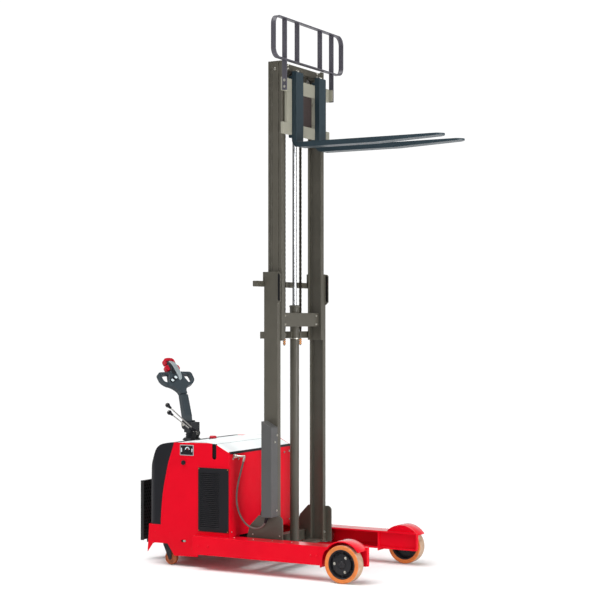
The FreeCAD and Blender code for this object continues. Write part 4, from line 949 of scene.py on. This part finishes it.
def make_deck_details():
    """Collar under the stop button, and the boot and rings round the steering column."""
    bm = bmesh.new()
    collar = [(15.2, 858), (31, 858), (31.5, 859), (30.5, 861.6), (27.8, 861.6), (27.4, 858.7), (15.2, 858.7)]
    lathe(bm, collar, at(-700, 0, 0), (0, 0, 1), 40)
    piece("stop_collar", bm, ALLOY, "chassis")
    bm = bmesh.new()
    boot = [(51, 842), (66, 843), (68, 848), (62, 856), (56, 861), (50.6, 862), (50.6, 842)]
    lathe(bm, boot, at(STEER_X, 0, 0), (0, 0, 1), 56)
    piece("column_boot", bm, SHELL, "chassis")
    bm = bmesh.new()
    for z in (812, 824, 836, 870, 884):
        ring = [(41.5, z - 4), (45.4, z - 2.6), (45.4, z + 2.6), (41.5, z + 4)]
        lathe(bm, ring, at(STEER_X, 0, 0), (0, 0, 1), 48)
    piece("column_rings", bm, TILLER_DARK, "steer_unit")


def make_leg_details():
    """Screws in the outer side and the top of each leg."""
    for word, side in SIDES:
        bm = bmesh.new()
        for x in (-500, -420, 380, 425):
            button_screw(bm, at(x, side * 500, 167), (0, side, 0), 7)
        piece("leg_screws_" + word, bm, RED, "chassis")
        bm = bmesh.new()
        for x in (-250, -100, 50, 200):
            button_screw(bm, at(x, side * 434, 230), (0, 0, 1), 5)
        piece("leg_top_screws_" + word, bm, ZINC, "chassis")


make_meter_plate()
make_panel_details()
make_bulkhead_details()
make_lid_details()
make_deck_details()
make_leg_details()


# ---- mast and carriage details ------------------------------------------------------------------
CYLINDER_X = -23


def make_mast_details():
    """Bolts, chain anchor nuts, guide pads and the rings round the lift cylinder."""
    bm = bmesh.new()
    for y, z in ((-352, 936), (-383, 891), (-359, 426)):
        bolt(bm, at(40, y, z), (1, 0, 0), 11, 5)
    for y in (-290, 290):
        bolt(bm, at(-100, y, 1614), (-1, 0, 0), 16, 8)
    for _, side in SIDES:
        for x in (-150, 62):
            button_screw(bm, at(x, side * 356, 252), (0, side, 0), 5)
        bolt(bm, at(41, side * 325, 200), (1, 0, 0), 13, 6)
    piece("mast_bolts", bm, ZINC, "mast_frame", smooth=30)
    bm = bmesh.new()
    nut = [(6, 0), (10.4, 0), (10.4, 9), (9.4, 10), (6, 10)]
    for _, side in SIDES:
        for z in (1548, 1562, 1576):
            lathe(bm, nut, at(-40, side * CHAIN_Y, z), (0, 0, 1), 6)
    piece("chain_anchor_nuts", bm, BRASS, "mast_frame", smooth=30)
    bm = bmesh.new()
    pad = filleted([(44, 1850, 3), (59, 1850, 3), (59, 2022, 6), (53, 2032, 5), (44, 2034, 4)])
    for _, side in SIDES:
        for low, high in ((349, 350.5), (339.8, 341)):
            prism(bm, pad, side * low, side * high, in_xz)
    piece("guide_pads", bm, DARK, "mast_frame")
    bm = bmesh.new()
    gland = [(16.2, 1808), (36, 1808), (37.5, 1810), (37.5, 1818), (30, 1822), (19, 1823), (16.2, 1821)]
    for profile in (gland, [(32, 1752), (36, 1754), (36, 1764), (32, 1766)]):
        lathe(bm, profile, at(CYLINDER_X, 0, 0), (0, 0, 1), 40)
    piece("gland_nut", bm, MAST, "mast_frame")
    bm = bmesh.new()
    lathe(bm, [(31.8, 1586), (35, 1586.5), (35, 1591.5), (31.8, 1592)], at(CYLINDER_X, 0, 0), (0, 0, 1), 40)
    piece("barrel_clamp_ring", bm, ZINC, "mast_frame")


def make_inner_details():
    """Bolts of the inner stage's ties and pulley shafts."""
    bm = bmesh.new()
    for _, side in SIDES:
        for z in (1690, 1750):
            bolt(bm, at(28, side * 222, z), (1, 0, 0), 13, 6)
        for z in (3452, 3474):
            bolt(bm, at(44, side * 210, z), (1, 0, 0), 12, 5)
        bolt(bm, at(-6.5, side * 303, 3440), (0, side, 0), 14, 6)
    piece("inner_mast_bolts", bm, ZINC, "inner_mast", smooth=30)


def make_carriage_details():
    """Bolts, painted shade in the bar's notches, a centre plate whose dark brown is painted shade, and the
    lock knob of each fork.
    """
    bm = bmesh.new()
    for _, side in SIDES:
        for z in (3308, 3350):
            bolt(bm, at(90, side * 342, z), (0, side, 0), 13, 7)
        for x, z in ((-20, 3120), (-20, 3260), (30, 3300)):
            bolt(bm, at(x, side * 244, z), (0, -side, 0), 12, 6)
    piece("carriage_bolts", bm, ZINC, "carriage", smooth=30)
    bm = bmesh.new()
    # Painted shade: thin near-black marks on the bar's face where its notches are.
    for k in range(13):
        y = -300 + k * 50
        prism(bm, [(y - 2.5, 3377), (y + 2.5, 3377), (y + 2.5, 3370), (y - 2.5, 3370)], 76.2, 77.2, in_yz)
    piece("bar_notch_shade", bm, DARK, "carriage")
    bm = bmesh.new()
    # Painted shade: a dark brown plate in front of the parts that lie in shade between the forks.
    block(bm, (49.5, -104, 3068), (56.5, 104, 3286))
    for y in (-88, 88):
        for z in (3082, 3272):
            bolt(bm, at(56.5, y, z), (1, 0, 0), 10, 5)
    piece("carriage_centre_shade_plate", bm, BROWN_SHADE, "carriage", bevel=0.8)
    knob = [(0, 0), (12, 0), (13, 1.5), (13, 9), (11, 12), (4, 13.6), (0, 13.8)]
    for word, side in SIDES:
        bm = bmesh.new()
        lathe(bm, knob, at(94, side * 165, 3430), (0, 0, 1), 32)
        piece("fork_lock_knob_" + word, bm, ZINC, "fork_" + word)


make_mast_details()
make_inner_details()
make_carriage_details()


# ---- platform -----------------------------------------------------------------------------------
def make_platform_details():
    """Studs of the tray's mat, in staggered rows, and the bolts of its hinges."""
    bm = bmesh.new()
    for row in range(16):
        for column in range(22):
            y = -290 + column * 27.5 + (13 if row % 2 else 0)
            z = 176 + row * 23.5
            lathe(bm, [(0, 2.4), (5.5, 2.0), (7.5, 0)], at(-1102, y, z), (1, 0, 0), 8)
    piece("platform_studs", bm, DARK, "rider_platform")
    bm = bmesh.new()
    for _, side in SIDES:
        for z in (170, 200):
            bolt(bm, at(-1110, side * 214, z), (-1, 0, 0), 12, 5)
    piece("platform_bolts", bm, ZINC, "rider_platform", smooth=30)


make_platform_details()


# ---- studio -------------------------------------------------------------------------------------
def make_floor():
    """A wide sheet of pale paper under the machine."""
    bm = bmesh.new()
    half = 40.0
    corners = [bm.verts.new((x * half, y * half, -0.0005)) for x, y in ((-1, -1), (1, -1), (1, 1), (-1, 1))]
    bm.faces.new(corners)
    mesh = bpy.data.meshes.new("studio_floor")
    bm.to_mesh(mesh)
    bm.free()
    floor = bpy.data.objects.new("studio_floor", mesh)
    bpy.context.collection.objects.link(floor)
    s = Surface("studio_paper")
    tone = s.mix(s.noise(0.7, 3.0), (0.88, 0.88, 0.88, 1), (0.9, 0.9, 0.9, 1))
    s.put(s.shader, Base_Color=tone, Roughness=0.9)
    s.shader.inputs["Specular IOR Level"].default_value = 0.1
    mesh.materials.append(s.material)


def make_light(name, place, target, size, power):
    """A round area light of size metres and power watts, turned to a target."""
    data = bpy.data.lights.new(name, "AREA")
    data.shape, data.size, data.energy = "DISK", size, power
    light = bpy.data.objects.new(name, data)
    light.location = place
    light.rotation_euler = (Vector(target) - Vector(place)).to_track_quat("-Z", "Y").to_euler()
    bpy.context.collection.objects.link(light)


def make_world():
    """White to the camera; for light, brighter behind the machine than in front of it."""
    world = bpy.data.worlds.new("studio")
    world.use_nodes = True
    bpy.context.scene.world = world
    tree = world.node_tree
    tree.nodes.clear()
    link, new = tree.links.new, tree.nodes.new
    out = new("ShaderNodeOutputWorld")
    seen = new("ShaderNodeBackground")
    seen.inputs["Color"].default_value = (1, 1, 1, 1)
    seen.inputs["Strength"].default_value = 1.05      # a little over white, so it stays clean
    lit = new("ShaderNodeBackground")
    coords = new("ShaderNodeTexCoord")
    dot = new("ShaderNodeVectorMath")
    dot.operation = "DOT_PRODUCT"
    dot.inputs[1].default_value = (-0.488, 0.873, 0.15)
    link(coords.outputs["Generated"], dot.inputs[0])
    ramp = new("ShaderNodeMapRange")
    for key, value in (("From Min", 0.5), ("From Max", 0.95), ("To Min", 0.25), ("To Max", 1.0)):
        ramp.inputs[key].default_value = value
    link(dot.outputs["Value"], ramp.inputs["Value"])
    link(ramp.outputs[0], lit.inputs["Strength"])
    path = new("ShaderNodeLightPath")
    blend = new("ShaderNodeMixShader")
    link(path.outputs["Is Camera Ray"], blend.inputs[0])
    link(lit.outputs[0], blend.inputs[1])
    link(seen.outputs[0], blend.inputs[2])
    link(blend.outputs[0], out.inputs["Surface"])


def make_studio():
    """Floor, world, a key and a fill light, and a soft sun from above."""
    make_floor()
    make_world()
    middle = (0, 0, 1.3)
    make_light("key", (3.5, -8.5, 4.2), middle, 4.5, 115)
    make_light("fill", (8.0, -1.5, 2.2), middle, 3.5, 400)
    sun = bpy.data.lights.new("top", "SUN")
    sun.energy, sun.angle = 3.1, math.radians(50)
    top = bpy.data.objects.new("top", sun)
    top.rotation_euler = (math.radians(14), math.radians(-16), 0)
    bpy.context.collection.objects.link(top)
    view = bpy.context.scene.view_settings
    view.view_transform, view.look = "Standard", "None"


make_studio()
